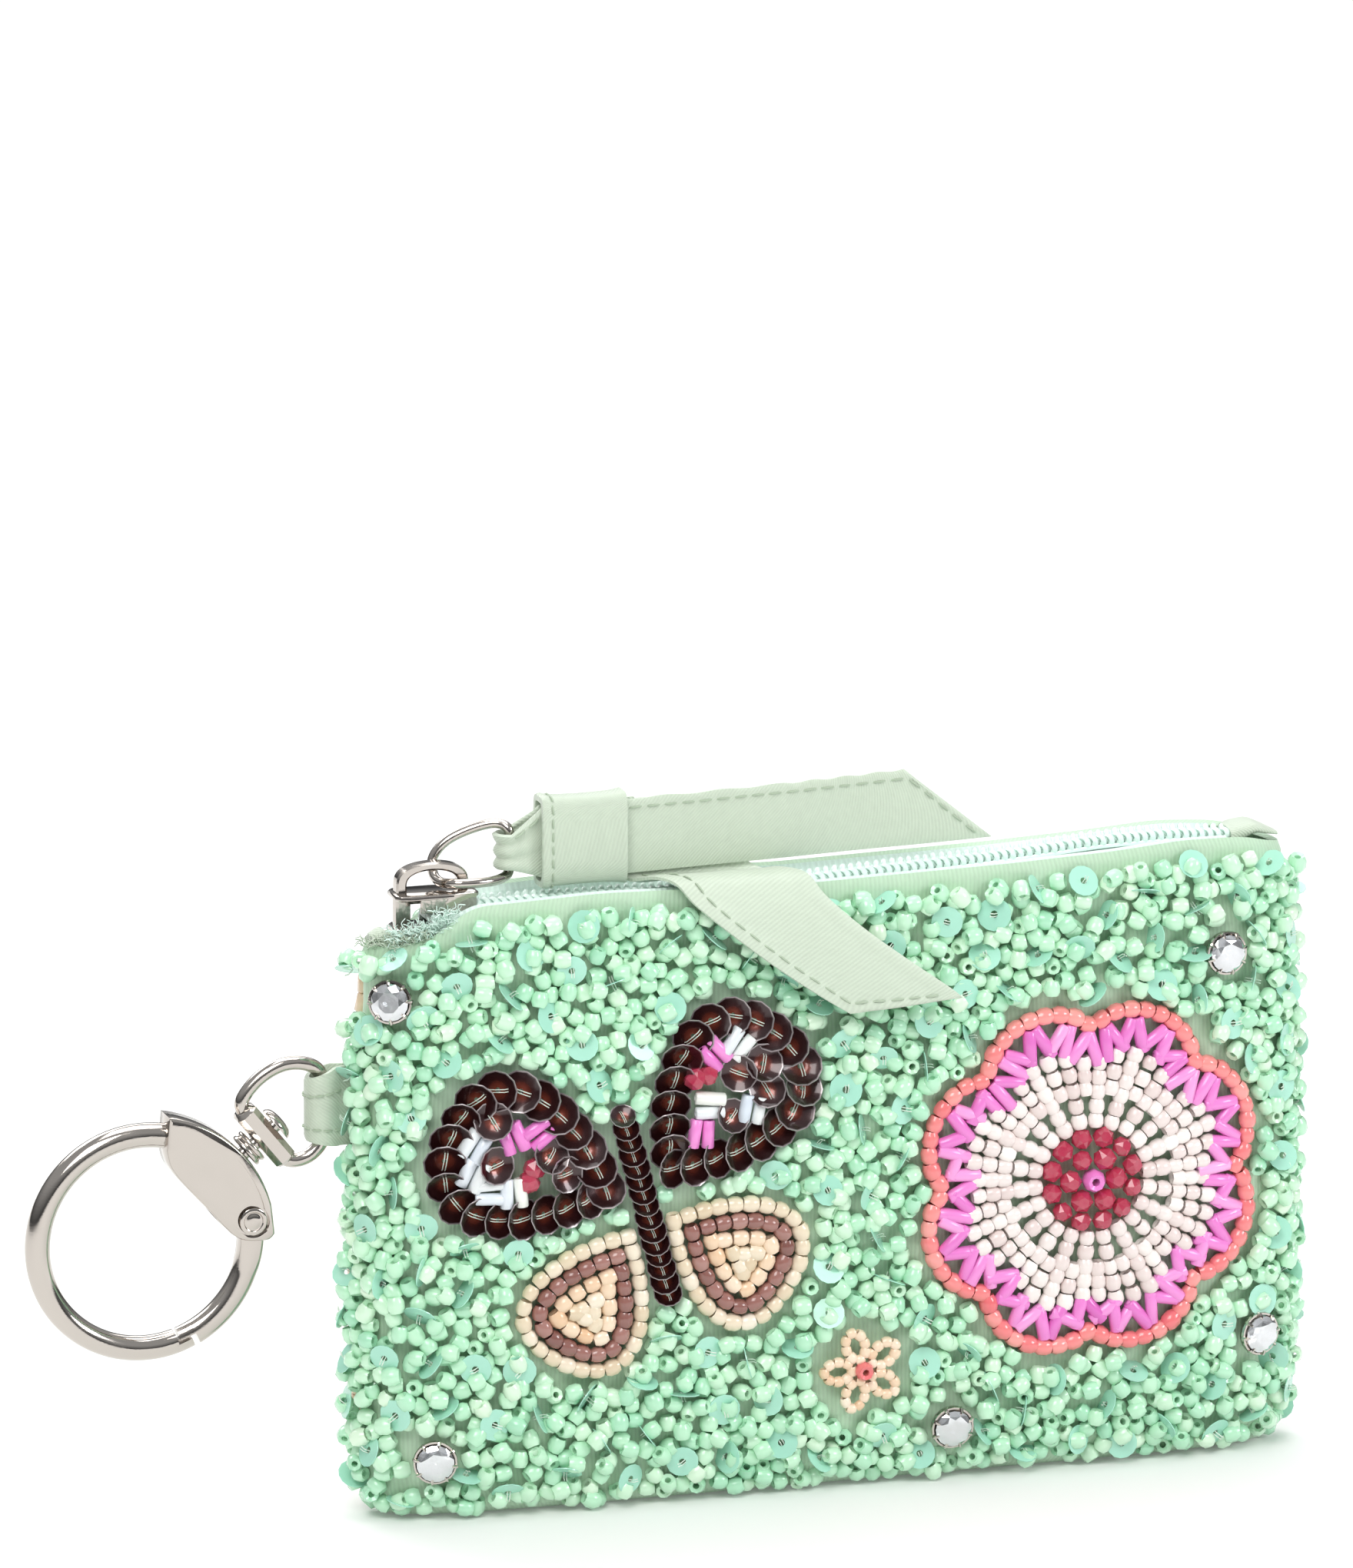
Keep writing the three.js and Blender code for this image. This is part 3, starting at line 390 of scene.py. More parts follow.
def carve(target: bpy.types.Object, cutters: Sequence[Shape]) -> None:
    """Cuts closed shapes out of an object.

    Args:
        target: the object to cut.
        cutters: the shapes, in millimetres.
    """
    material = target.data.materials[0]
    for shape in cutters:
        tool = make_object("cutter", shape, material)
        cut = target.modifiers.new("cut", "BOOLEAN")
        cut.object, cut.solver, cut.operation = tool, "EXACT", "DIFFERENCE"
        graph = bpy.context.evaluated_depsgraph_get()
        mesh = bpy.data.meshes.new_from_object(target.evaluated_get(graph))
        target.modifiers.clear()
        target.data = mesh
        bpy.data.objects.remove(tool)
    target.data.shade_smooth()
    target.data.set_sharp_from_angle(angle=math.radians(35))


def hand_over(obj: bpy.types.Object, body: Body, slot: Slot, *nodes: str) -> bpy.types.Object:
    """Lets a piece ride on its body and hides the nodes that it stands for."""
    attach(obj, body.value)
    if nodes:
        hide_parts(*nodes)
    LOG.info("%s: %d faces, on %s, for %s", obj.name, len(obj.data.polygons), body.value, nodes or "no node")
    return obj


# Finishes


def linear(code: str) -> tuple[float, float, float, float]:
    """The linear colour of an sRGB hex code."""
    parts = [int(code[i : i + 2], 16) / 255 for i in (1, 3, 5)]
    red, green, blue = (p / 12.92 if p <= 0.04045 else ((p + 0.055) / 1.055) ** 2.4 for p in parts)
    return red, green, blue, 1.0


def add_node(
    tree: bpy.types.NodeTree,
    kind: str,
    settings: dict[str | int, object] | None = None,
    links: dict[str | int, bpy.types.NodeSocket] | None = None,
) -> bpy.types.Node:
    """Adds a node to a tree.

    Args:
        tree: the tree.
        kind: the node's type.
        settings: values of its properties, or of its inputs by name or number.
        links: the sockets that lead to its inputs.

    Returns:
        The node.
    """
    node = tree.nodes.new(kind)
    for key, value in (settings or {}).items():
        if isinstance(key, str) and key in node.bl_rna.properties:
            setattr(node, key, value)
        else:
            node.inputs[key].default_value = value
    for key, source in (links or {}).items():
        tree.links.new(source, node.inputs[key])
    return node


def per(size: float) -> float:
    """The scale of a pattern on Object coordinates whose grain has a size in millimetres."""
    return 1 / (size * MM)


@dataclass(frozen=True)
class Finish:
    """A finish with one colour and its gloss."""

    name: str
    colour: str
    roughness: float
    metallic: float = 0.0
    coat: float = 0.0
    sheen: float = 0.0

    def begin(self) -> tuple[bpy.types.Material, bpy.types.NodeTree, bpy.types.Node]:
        """The material with its shader's plain values set."""
        material = bpy.data.materials.new(self.name)
        material.use_nodes = True
        tree = material.node_tree
        shader = next(node for node in tree.nodes if node.type == "BSDF_PRINCIPLED")
        shader.inputs["Base Color"].default_value = linear(self.colour)
        shader.inputs["Roughness"].default_value = self.roughness
        shader.inputs["Metallic"].default_value = self.metallic
        shader.inputs["Coat Weight"].default_value = self.coat
        shader.inputs["Coat Roughness"].default_value = 0.08
        shader.inputs["Sheen Weight"].default_value = self.sheen
        material.diffuse_color = linear(self.colour)
        return material, tree, shader

    def clouds(self, tree: bpy.types.NodeTree, size: float, detail: float = 2.0) -> bpy.types.NodeSocket:
        """Soft clouds of a size in millimetres."""
        where = add_node(tree, "ShaderNodeTexCoord")
        noise = add_node(
            tree, "ShaderNodeTexNoise", {"Scale": per(size), "Detail": detail}, {"Vector": where.outputs["Object"]}
        )
        return noise.outputs["Fac"]

    def made(self) -> bpy.types.Material:
        """The finished material."""
        material, tree, shader = self.begin()
        spread = add_node(
            tree,
            "ShaderNodeMapRange",
            {"To Min": max(self.roughness - 0.06, 0.02), "To Max": self.roughness + 0.06},
            {"Value": self.clouds(tree, 1.5)},
        )
        tree.links.new(spread.outputs["Result"], shader.inputs["Roughness"])
        return material


@dataclass(frozen=True)
class GlassBead(Finish):
    """Opaque pressed glass: a deep even colour under a hard gloss, a little different from bead to bead."""

    light: str = "#FFFFFF"
    dark: str = "#808080"

    def made(self) -> bpy.types.Material:
        """The finished material, whose colour follows the tone of each bead."""
        material, tree, shader = self.begin()
        tone = add_node(tree, "ShaderNodeAttribute", {"attribute_name": "tone"})
        ramp = add_node(tree, "ShaderNodeValToRGB", links={"Fac": tone.outputs["Fac"]})
        ramp.color_ramp.elements[0].color = linear(self.dark)
        ramp.color_ramp.elements[1].color = linear(self.light)
        middle = ramp.color_ramp.elements.new(0.5)
        middle.color = linear(self.colour)
        # The skin of pressed glass waves by some hundredths of a millimetre over half a bead
        waves = add_node(tree, "ShaderNodeBump", {"Strength": 0.12, "Distance": 0.1 * MM}, {"Height": self.clouds(tree, 0.7)})
        tree.links.new(ramp.outputs["Color"], shader.inputs["Base Color"])
        tree.links.new(waves.outputs["Normal"], shader.inputs["Normal"])
        return material


@dataclass(frozen=True)
class ClearSequin(Finish):
    """Stamped polyester film, tinted and half clear: light edges and a glassy face."""

    def made(self) -> bpy.types.Material:
        """The finished material."""
        material, tree, shader = self.begin()
        shader.inputs["Alpha"].default_value = 0.88
        shader.inputs["IOR"].default_value = 1.6
        film = add_node(tree, "ShaderNodeBump", {"Strength": 0.15, "Distance": 0.1 * MM}, {"Height": self.clouds(tree, 1.2)})
        tree.links.new(film.outputs["Normal"], shader.inputs["Normal"])
        return material


@dataclass(frozen=True)
class CupSequin(Finish):
    """Pressed polyester film, metallised under a dark tint: copper in its cup, nearly black round it, and a pale grey
    line on its rim that is a painted highlight.
    """

    centre: str = "#9A4A38"
    # The pale grey of the rim is a painted highlight on its rolled lip
    rim: str = "#A89EA0"

    def made(self) -> bpy.types.Material:
        """The finished material, whose colour follows the reach from the hole to the rim."""
        material, tree, shader = self.begin()
        reach = add_node(tree, "ShaderNodeAttribute", {"attribute_name": "reach"})
        ramp = add_node(tree, "ShaderNodeValToRGB", links={"Fac": reach.outputs["Fac"]})
        # The last stop, the pale grey rim, is a painted highlight
        stops = ((0.1, self.centre), (0.38, "#6E3228"), (0.55, self.colour), (0.9, "#2C1214"), (0.97, self.rim))
        for place, code in stops:
            ramp.color_ramp.elements.new(place).color = linear(code)
        ramp.color_ramp.elements[0].color = linear(self.centre)
        ramp.color_ramp.elements[len(ramp.color_ramp.elements) - 1].color = linear(self.rim)
        tree.links.new(ramp.outputs["Color"], shader.inputs["Base Color"])
        return material


@dataclass(frozen=True)
class Satin(Finish):
    """Woven polyester satin with a twill face: fine slanting ribs and soft sheen, with painted light: its colour goes
    darker and lighter along the ribs as painted shade and in soft patches as painted sheen.
    """

    pitch: float = 0.55
    slant: bool = True
    ribs: float = 0.35

    def made(self) -> bpy.types.Material:
        """The finished material, whose weave lies in the piece's own weave coordinates, in millimetres."""
        material, tree, shader = self.begin()
        weave = add_node(tree, "ShaderNodeAttribute", {"attribute_name": "weave"})
        # Real ribs are 0.3 mm apart; they are drawn wider so that they show in the render
        scale = (0.628 / (1.414 * self.pitch)) if self.slant else 0.314 / self.pitch
        direction = "DIAGONAL" if self.slant else "X"
        ribs = add_node(
            tree,
            "ShaderNodeTexWave",
            {"bands_direction": direction, "Scale": scale, "Distortion": 0.6, "Detail": 1.0, "Detail Scale": 2.0},
            {"Vector": weave.outputs["Vector"]},
        )
        # Soft patches of painted sheen in the colour
        sheen_patches = add_node(
            tree,
            "ShaderNodeTexNoise",
            {"Scale": 0.9, "Detail": 3.0},
            {"Vector": weave.outputs["Vector"]},
        )
        # Painted shade and sheen: the colour goes darker and lighter with the ribs and the soft patches
        red, green, blue, _ = linear(self.colour)
        shaded_colour = tuple(0.88 * value for value in (red, green, blue)) + (1.0,)
        lit_colour = tuple(min(1.08 * value, 1.0) for value in (red, green, blue)) + (1.0,)
        painted_light_share = add_node(
            tree,
            "ShaderNodeMath",
            {"operation": "MULTIPLY_ADD", 1: 0.55},
            {0: sheen_patches.outputs["Fac"], 2: add_node(
                tree, "ShaderNodeMath", {"operation": "MULTIPLY", 1: 0.45}, {0: ribs.outputs["Fac"]}
            ).outputs["Value"]},
        )
        painted_light_mix = add_node(
            tree,
            "ShaderNodeMix",
            {"data_type": "RGBA", 6: shaded_colour, 7: lit_colour},
            {0: painted_light_share.outputs["Value"]},
        )
        raised = add_node(
            tree,
            "ShaderNodeBump",
            {"Strength": self.ribs, "Distance": 0.12 * MM},
            {"Height": ribs.outputs["Fac"]},
        )
        tree.links.new(painted_light_mix.outputs[2], shader.inputs["Base Color"])
        tree.links.new(raised.outputs["Normal"], shader.inputs["Normal"])
        return material


@dataclass(frozen=True)
class Nickel(Finish):
    """Nickel plate on cast zinc, polished by hand: a warm mirror with faint waves and hairlines."""

    def made(self) -> bpy.types.Material:
        """The finished material."""
        material, tree, shader = self.begin()
        wear = add_node(
            tree,
            "ShaderNodeMapRange",
            {"From Min": 0.35, "From Max": 0.7, "To Min": self.roughness - 0.05, "To Max": self.roughness + 0.07},
            {"Value": self.clouds(tree, 2.5, 4.0)},
        )
        where = add_node(tree, "ShaderNodeTexCoord")
        stretch = add_node(tree, "ShaderNodeMapping", {"Scale": (1.0, 1.0, 9.0)}, {"Vector": where.outputs["Object"]})
        hairs = add_node(
            tree, "ShaderNodeTexNoise", {"Scale": per(1.2), "Detail": 2.0}, {"Vector": stretch.outputs["Vector"]}
        )
        waves = add_node(tree, "ShaderNodeBump", {"Strength": 0.05, "Distance": 0.1 * MM}, {"Height": hairs.outputs["Fac"]})
        tree.links.new(wear.outputs["Result"], shader.inputs["Roughness"])
        tree.links.new(waves.outputs["Normal"], shader.inputs["Normal"])
        return material


@dataclass(frozen=True)
class CutGlass(Finish):
    """Cut glass: clear or tinted, with a bright skin and light bent through its facets."""

    clear: float = 0.9
    ior: float = 1.6

    def made(self) -> bpy.types.Material:
        """The finished material."""
        material, tree, shader = self.begin()
        shader.inputs["Transmission Weight"].default_value = self.clear
        shader.inputs["IOR"].default_value = self.ior
        tint = add_node(
            tree,
            "ShaderNodeMix",
            {"data_type": "RGBA", 6: linear(self.colour), 7: linear("#FFFFFF")},
            {0: add_node(
                tree, "ShaderNodeMath", {"operation": "MULTIPLY", 1: 0.12}, {0: self.clouds(tree, 1.0)}
            ).outputs["Value"]},
        )
        tree.links.new(tint.outputs[2], shader.inputs["Base Color"])
        return material


class Look(Enum):
    """Every finish of the pouch."""

    MINT = GlassBead("opaque_mint_glass", "#C2F0CE", 0.2, coat=0.5, light="#E0F8DE", dark="#A8E2C0")
    AQUA = ClearSequin("aqua_sequin_film", "#B2ECD6", 0.22, coat=0.5)
    # The cup sequins' pale grey rim line is a painted highlight
    BROWN = CupSequin("brown_cup_sequin_film", "#3A1A1C", 0.24, metallic=0.45, coat=0.8)
    CREAM = GlassBead("cream_glass", "#E9D9BE", 0.22, coat=0.5, light="#F6EBD8", dark="#D9C4A4")
    PEACH = GlassBead("peach_glass", "#F3D9BC", 0.2, coat=0.6, light="#FBEAD6", dark="#E8C29C")
    MAUVE = GlassBead("mauve_glass", "#9A6A62", 0.2, coat=0.6, light="#B58A80", dark="#7C5049")
    CORAL = GlassBead("coral_glass", "#F58B8A", 0.2, coat=0.6, light="#FBA9A2", dark="#E86F74")
    BLUSH = GlassBead("blush_glass", "#F0E4E0", 0.2, coat=0.5, light="#FBF5F0", dark="#E2D0CC")
    PINK = GlassBead("pink_satin_glass", "#EE88D4", 0.26, coat=0.5, light="#F8B2E4", dark="#DA66BE")
    WHITE = GlassBead("white_satin_glass", "#E6ECF2", 0.24, coat=0.5, light="#F6F8EE", dark="#BFD6EE")
    RED = CutGlass("red_cut_glass", "#D4104E", 0.05, coat=0.4, clear=0.35, ior=1.55)
    CLEAR = CutGlass("foiled_cut_glass", "#FAFCFF", 0.02, metallic=0.6, clear=0.8, ior=1.62)
    SATIN = Satin("sage_satin_ribbon", "#C6D3C0", 0.42, sheen=0.25, pitch=0.34, ribs=0.3)
    BASE = Satin("sage_satin_cloth", "#BFDABF", 0.5, sheen=0.2, slant=False, ribs=0.25)
    TAPE = Satin("zip_tape_cloth", "#DCEFE7", 0.6, sheen=0.3, slant=False, ribs=0.6, pitch=0.7)
    COIL = Finish("moulded_nylon_coil", "#DCF1E8", 0.38, coat=0.2)
    THREAD = Finish("pale_sewing_thread", "#DDE8DC", 0.6, sheen=0.3)
    STITCH = Finish("sage_sewing_thread", "#A9B9A2", 0.55, sheen=0.3)
    NICKEL = Nickel("polished_nickel_plate", "#C2BBB4", 0.12, metallic=1.0)

    def material(self) -> bpy.types.Material:
        """The material, made once."""
        return bpy.data.materials.get(self.value.name) or self.value.made()


# Small pieces that are sewn on many times


def bead(diameter: float = 2.2, length: float = 1.95, hole: float = 0.4, sides: int = 8) -> Shape:
    """A seed bead about Z, with its hole."""
    r, h = diameter / 2, length / 2
    return lathe(
        [(hole, -0.78 * h), (0.74 * r, -h), (r, -0.42 * h), (r, 0.42 * h), (0.74 * r, h), (hole, 0.78 * h)], sides, True
    )


def bugle(diameter: float = 1.65, length: float = 4.2, sides: int = 8) -> Shape:
    """A bugle bead about Z, a cut length of glass tube."""
    r, h = diameter / 2, length / 2
    return lathe([(0.35, -h), (0.85 * r, -h), (r, 0.14 - h), (r, h - 0.14), (0.85 * r, h), (0.35, h)], sides, True)


def flat_sequin(diameter: float = 3.9) -> Shape:
    """A flat sequin about Z, with its hole."""
    r = diameter / 2
    return lathe([(0.42, -0.05), (r, -0.05), (r, 0.06), (0.42, 0.06)], 14, True)


def cup_sequin(diameter: float = 5.3) -> Shape:
    """A cup sequin about Z, its open side upwards, with the reach of each point from its hole to its rim."""
    r = diameter / 2
    profile = [(0.36, 0.0), (0.42 * r, 0.0), (r, 0.72), (0.985 * r, 0.84), (0.86 * r, 0.7), (0.4 * r, 0.12), (0.36, 0.12)]
    shape = lathe(profile, 12, True)
    shape.reach = np.repeat([radius / r for radius, _ in profile], 12)
    return shape


def cross_threads(length: float, lift: float, gap: float = 0.34) -> Shape:
    """Two threads side by side over a sequin, along X."""
    path = np.array([[-0.5, 0, -0.12], [-0.3, 0, 0.9], [0, 0, 1.0], [0.3, 0, 0.9], [0.5, 0, -0.12]]) * [length, 1, lift]
    return Shape.joined([sweep(path + [0, side * gap / 2, 0], 0.065, 4) for side in (-1, 1)])


def hull(points: Points) -> Shape:
    """The convex form round the points."""
    work = bmesh.new()
    for point in points:
        work.verts.new(point)
    result = bmesh.ops.convex_hull(work, input=work.verts)
    bmesh.ops.delete(work, geom=list({*result["geom_interior"], *result["geom_unused"]}), context="VERTS")
    work.verts.index_update()
    shape = Shape(np.array([v.co[:] for v in work.verts]), [tuple(v.index for v in f.verts) for f in work.faces])
    work.free()
    return shape


def ring_points(radius: float, height: float, count: int, turn: float = 0.0) -> Points:
    """Points evenly round Z, the first turned by a share of a step."""
    angles = (np.arange(count) + turn) * 2 * np.pi / count
    return np.stack([radius * np.cos(angles), radius * np.sin(angles), np.full(count, height)], 1)


def cut_bead(diameter: float = 2.9) -> Shape:
    """A faceted bead about Z."""
    r = diameter / 2
    return hull(np.vstack([
        ring_points(0.45 * r, -0.85 * r, 6), ring_points(0.95 * r, -0.3 * r, 6, 0.5), ring_points(r, 0.25 * r, 6),
        ring_points(0.5 * r, 0.85 * r, 6, 0.5),
    ]))


@dataclass
class Places:
    """Where a small piece is sewn on, with the axes that it takes there, its size and its tone."""

    at: Points
    aim: Points
    facing: Points
    size: Points
    tone: np.ndarray

    @staticmethod
    def of(at: Points, aim: Points, facing: Points, rng: np.random.Generator, size: Sequence[float] = (1, 1, 1),
           spread: float = 0.04) -> Places:
        """Places with sizes and tones that differ a little.

        Args:
            at: the middles.
            aim: the directions that each piece's Z axis takes.
            facing: the directions that each piece's X axis takes as nearly as it can.
            rng: the source of the small differences.
            size: the mean scale along the piece's own axes.
            spread: how much the scale differs.

        Returns:
            The places.
        """
        count = len(at)
        scales = np.asarray(size, float) * (1 + spread * rng.normal(size=(count, 1)).clip(-2, 2))
        return Places(at, aim, facing, scales, rng.normal(0.5, 0.2, count).clip(0, 1))

    def only(self, keep: np.ndarray) -> Places:
        """The places that are kept."""
        return Places(self.at[keep], self.aim[keep], self.facing[keep], self.size[keep], self.tone[keep])

    @staticmethod
    def joined(parts: Sequence[Places]) -> Places:
        """All the places as one."""
        return Places(
            np.vstack([p.at for p in parts]), np.vstack([p.aim for p in parts]), np.vstack([p.facing for p in parts]),
            np.vstack([p.size for p in parts]), np.concatenate([p.tone for p in parts]),
        )


class Sewing:
    """Sews a small piece on at many places with one tree of Geometry Nodes."""

    inputs = (
        ("Piece", "NodeSocketObject"),
        ("Finish", "NodeSocketMaterial"),
        ("Looseness", "NodeSocketFloat"),
        ("Seed", "NodeSocketInt"),
    )

    def __init__(self) -> None:
        """Builds the tree."""
        tree = self.tree = bpy.data.node_groups.new("sewn_on", "GeometryNodeTree")
        tree.interface.new_socket("Geometry", in_out="INPUT", socket_type="NodeSocketGeometry")
        tree.interface.new_socket("Geometry", in_out="OUTPUT", socket_type="NodeSocketGeometry")
        for name, kind in self.inputs:
            tree.interface.new_socket(name, in_out="INPUT", socket_type=kind)
        given = add_node(tree, "NodeGroupInput").outputs
        read = {
            key: add_node(tree, "GeometryNodeInputNamedAttribute", {"data_type": "FLOAT_VECTOR", "Name": key})
            for key in ("aim", "facing", "size")
        }
        turned = add_node(
            tree,
            "FunctionNodeAxesToRotation",
            {"primary_axis": "Z", "secondary_axis": "X"},
            {0: read["aim"].outputs[0], 1: read["facing"].outputs[0]},
        )
        least = add_node(tree, "ShaderNodeMath", {"operation": "MULTIPLY", 1: -1.0}, {0: given["Looseness"]})
        wobble = add_node(
            tree,
            "FunctionNodeRandomValue",
            {"data_type": "FLOAT_VECTOR"},
            {0: least.outputs[0], 1: given["Looseness"], 8: given["Seed"]},
        )
        wobbled = add_node(tree, "FunctionNodeEulerToRotation", links={0: wobble.outputs[0]})
        settled = add_node(
            tree,
            "FunctionNodeRotateRotation",
            {"rotation_space": "LOCAL"},
            {0: turned.outputs[0], 1: wobbled.outputs[0]},
        )
        piece = add_node(tree, "GeometryNodeObjectInfo", links={"Object": given["Piece"]})
        sewn = add_node(
            tree,
            "GeometryNodeInstanceOnPoints",
            links={
                "Points": given["Geometry"],
                "Instance": piece.outputs["Geometry"],
                "Rotation": settled.outputs[0],
                "Scale": read["size"].outputs[0],
            },
        )
        real = add_node(tree, "GeometryNodeRealizeInstances", links={0: sewn.outputs[0]})
        dressed = add_node(
            tree, "GeometryNodeSetMaterial", links={"Geometry": real.outputs[0], "Material": given["Finish"]}
        )
        add_node(tree, "NodeGroupOutput", links={0: dressed.outputs[0]})

    def sew(
        self, name: str, template: Shape, places: Places, look: Look, looseness: float = 4.0, seed: int = 1,
        sharp: float = 60.0,
    ) -> bpy.types.Object:
        """Makes one plain mesh of a piece sewn on at every place.

        Args:
            name: the new object's name.
            template: the small piece.
            places: where it is sewn on.
            look: its finish.
            looseness: the most that it is turned at random about each axis, in degrees.
            seed: the seed of those turns.
            sharp: the angle above which the piece's edges aren't smoothed.

        Returns:
            The object.
        """
        small = make_object(f"{name}_one", template, look.material(), sharp)
        mesh = bpy.data.meshes.new(name)
        mesh.from_pydata((places.at * MM).tolist(), [], [])
        for key, values in (("aim", places.aim), ("facing", places.facing), ("size", places.size)):
            layer = mesh.attributes.new(key, "FLOAT_VECTOR", "POINT")
            layer.data.foreach_set("vector", np.asarray(values, np.float32).ravel())
        layer = mesh.attributes.new("tone", "FLOAT", "POINT")
        layer.data.foreach_set("value", np.asarray(places.tone, np.float32))
        carrier = bpy.data.objects.new(f"{name}_places", mesh)
        bpy.context.scene.collection.objects.link(carrier)
        modifier = carrier.modifiers.new("sewn_on", "NODES")
        modifier.node_group = self.tree
        values = {"Piece": small, "Finish": look.material(), "Looseness": math.radians(looseness), "Seed": seed}
        for item in self.tree.interface.items_tree:
            if item.in_out == "INPUT" and item.name in values:
                modifier[item.identifier] = values[item.name]
        graph = bpy.context.evaluated_depsgraph_get()
        real = bpy.data.meshes.new_from_object(carrier.evaluated_get(graph))
        real.name = name
        for key in ("aim", "facing", "size"):
            if key in real.attributes:
                real.attributes.remove(real.attributes[key])
        bpy.data.objects.remove(carrier)
        bpy.data.objects.remove(small)
        made = bpy.data.objects.new(name, real)
        bpy.context.scene.collection.objects.link(made)
        return made


# The pouch


@dataclass(frozen=True)
class PouchForm:
    """The outer form of the pouch, front and back."""

    half_width: float = 60.0
    half_depth: float = 9.0
    height: float = 75.0
    seam: float = 2.5
    gap: float = 0.3
    side_roundness: float = 7.0
    face_roundness: float = 2.3
    # Height, width and depth as shares, and the share of the wall
    sections: tuple[tuple[float, float, float, float], ...] = (
        (0, 0.945, 0.66, 1), (0.012, 0.966, 0.8, 1), (0.04, 0.985, 0.92, 1), (0.1, 0.997, 0.985, 1), (0.3, 1, 1, 1),
        (0.55, 1, 1, 1), (0.75, 0.996, 0.955, 1), (0.88, 0.99, 0.9, 0.9), (0.955, 0.98, 0.84, 0.7),
        (0.985, 0.968, 0.755, 0.6), (1, 0.957, 0.7, 0.4),
    )
    # Place along the mouth, height of the rim and of the coil, as shares
    mouth: tuple[tuple[float, float, float], ...] = (
        (-1, 0.925, 0.955), (-0.89, 0.94, 0.975), (-0.84, 0.947, 0.979), (-0.76, 0.997, 0.979), (-0.5, 1.006, 0.976),
        (-0.08, 0.998, 0.977), (0.36, 1.006, 0.995), (0.57, 1.013, 1.008), (0.72, 1.022, 1.01), (0.85, 1.018, 1.003),
        (1, 0.985, 0.985),
    )

    def mouth_value(self, x: Points, column: int) -> Points:
        """A height along the mouth, softened over a few millimetres."""
        table = np.array(self.mouth)
        shifts = (-1.6, -0.8, 0, 0.8, 1.6)
        read = [np.interp((np.asarray(x) + s) / self.half_width, table[:, 0], table[:, column]) for s in shifts]
        return self.height * np.mean(read, axis=0)

    def rim(self, x: Points) -> Points:
        """The height of the rim."""
        return self.mouth_value(x, 1)

    def coil(self, x: Points) -> Points:
        """The height of the coil's underside."""
        return self.mouth_value(x, 2)

    def section(self, height: Points, column: int) -> Points:
        """A value of the horizontal sections at a share of the height."""
        table = np.array(self.sections)
        return np.interp(height, table[:, 0], table[:, column])

    def depth_share(self, share: Points) -> Points:
        """How deep a section is at a share of its half width."""
        return (1 - np.abs(share).clip(0, 1) ** self.side_roundness) ** (1 / self.face_roundness)

    def mouth_depth(self, x: Points) -> Points:
        """The half depth of the mouth inside the rim."""
        return 5.1 * self.depth_share(np.asarray(x) / 56.22)

    def face(self, x: Points, z: Points, side: Side = Side.FRONT) -> Points:
        """Points of the outer form."""
        x, z = np.asarray(x, float), np.asarray(z, float)
        height = z / self.rim(x)
        wide, deep = self.half_width * self.section(height, 1), self.half_depth * self.section(height, 2)
        return np.stack([x, side.value * deep * self.depth_share(x / wide), z], -1)

    def facing(self, x: Points, z: Points, side: Side = Side.FRONT) -> Points:
        """The directions that the outer form faces."""
        along = self.face(x + 0.5, z, side) - self.face(x - 0.5, z, side)
        up = self.face(x, z + 0.5, side) - self.face(x, z - 0.5, side)
        return unit(np.cross(along, up)) * -side.value

    def on(self, flat: Points, lift: float, side: Side = Side.FRONT) -> tuple[Points, Points]:
        """Points at a height over the form, and the directions that it faces there."""
        facing = self.facing(flat[:, 0], flat[:, 1], side)
        return self.face(flat[:, 0], flat[:, 1], side) + lift * facing, facing

    def row(self, side: Side, height: float, inset: float, base: float, columns: int, cut: float) -> Points:
        """One level of a panel, from its seam round its face to its other seam.

        Args:
            side: which panel.
            height: the level, as a share of the height.
            inset: how far the row lies inside the form.
            base: the height of the lowest row.
            columns: the number of points.
            cut: the Y at which the panel ends.

        Returns:
            The points, from -X to +X.
        """
        wide = self.half_width * float(self.section(height, 1)) - inset
        deep = self.half_depth * float(self.section(height, 2)) - inset
        turn = np.sin(np.linspace(-1, 1, 361) * np.pi / 2)
        turn = np.sign(turn) * np.abs(turn) ** 0.8
        edge = (1 - min(cut / deep, 0.999) ** self.face_roundness) ** (1 / self.side_roundness)
        if side is Side.FRONT:
            round_end = np.linspace(edge, 1, 40)[:-1]
            shares = np.concatenate([-round_end, turn, round_end[::-1]])
            signs = np.concatenate([np.ones(39), -np.ones(len(turn)), np.ones(39)])
        else:
            shares, signs = turn * edge, np.ones(len(turn))
        x = shares * wide
        y = signs * deep * self.depth_share(shares)
        line = np.stack([x, y], 1)
        length = np.concatenate([[0], np.cumsum(np.linalg.norm(np.diff(line, axis=0), axis=1))])
        at = np.linspace(0, length[-1], columns)
        x, y = np.interp(at, length, x), np.interp(at, length, y)
        return np.stack([x, y, base + height * (self.rim(x) - base)], 1)


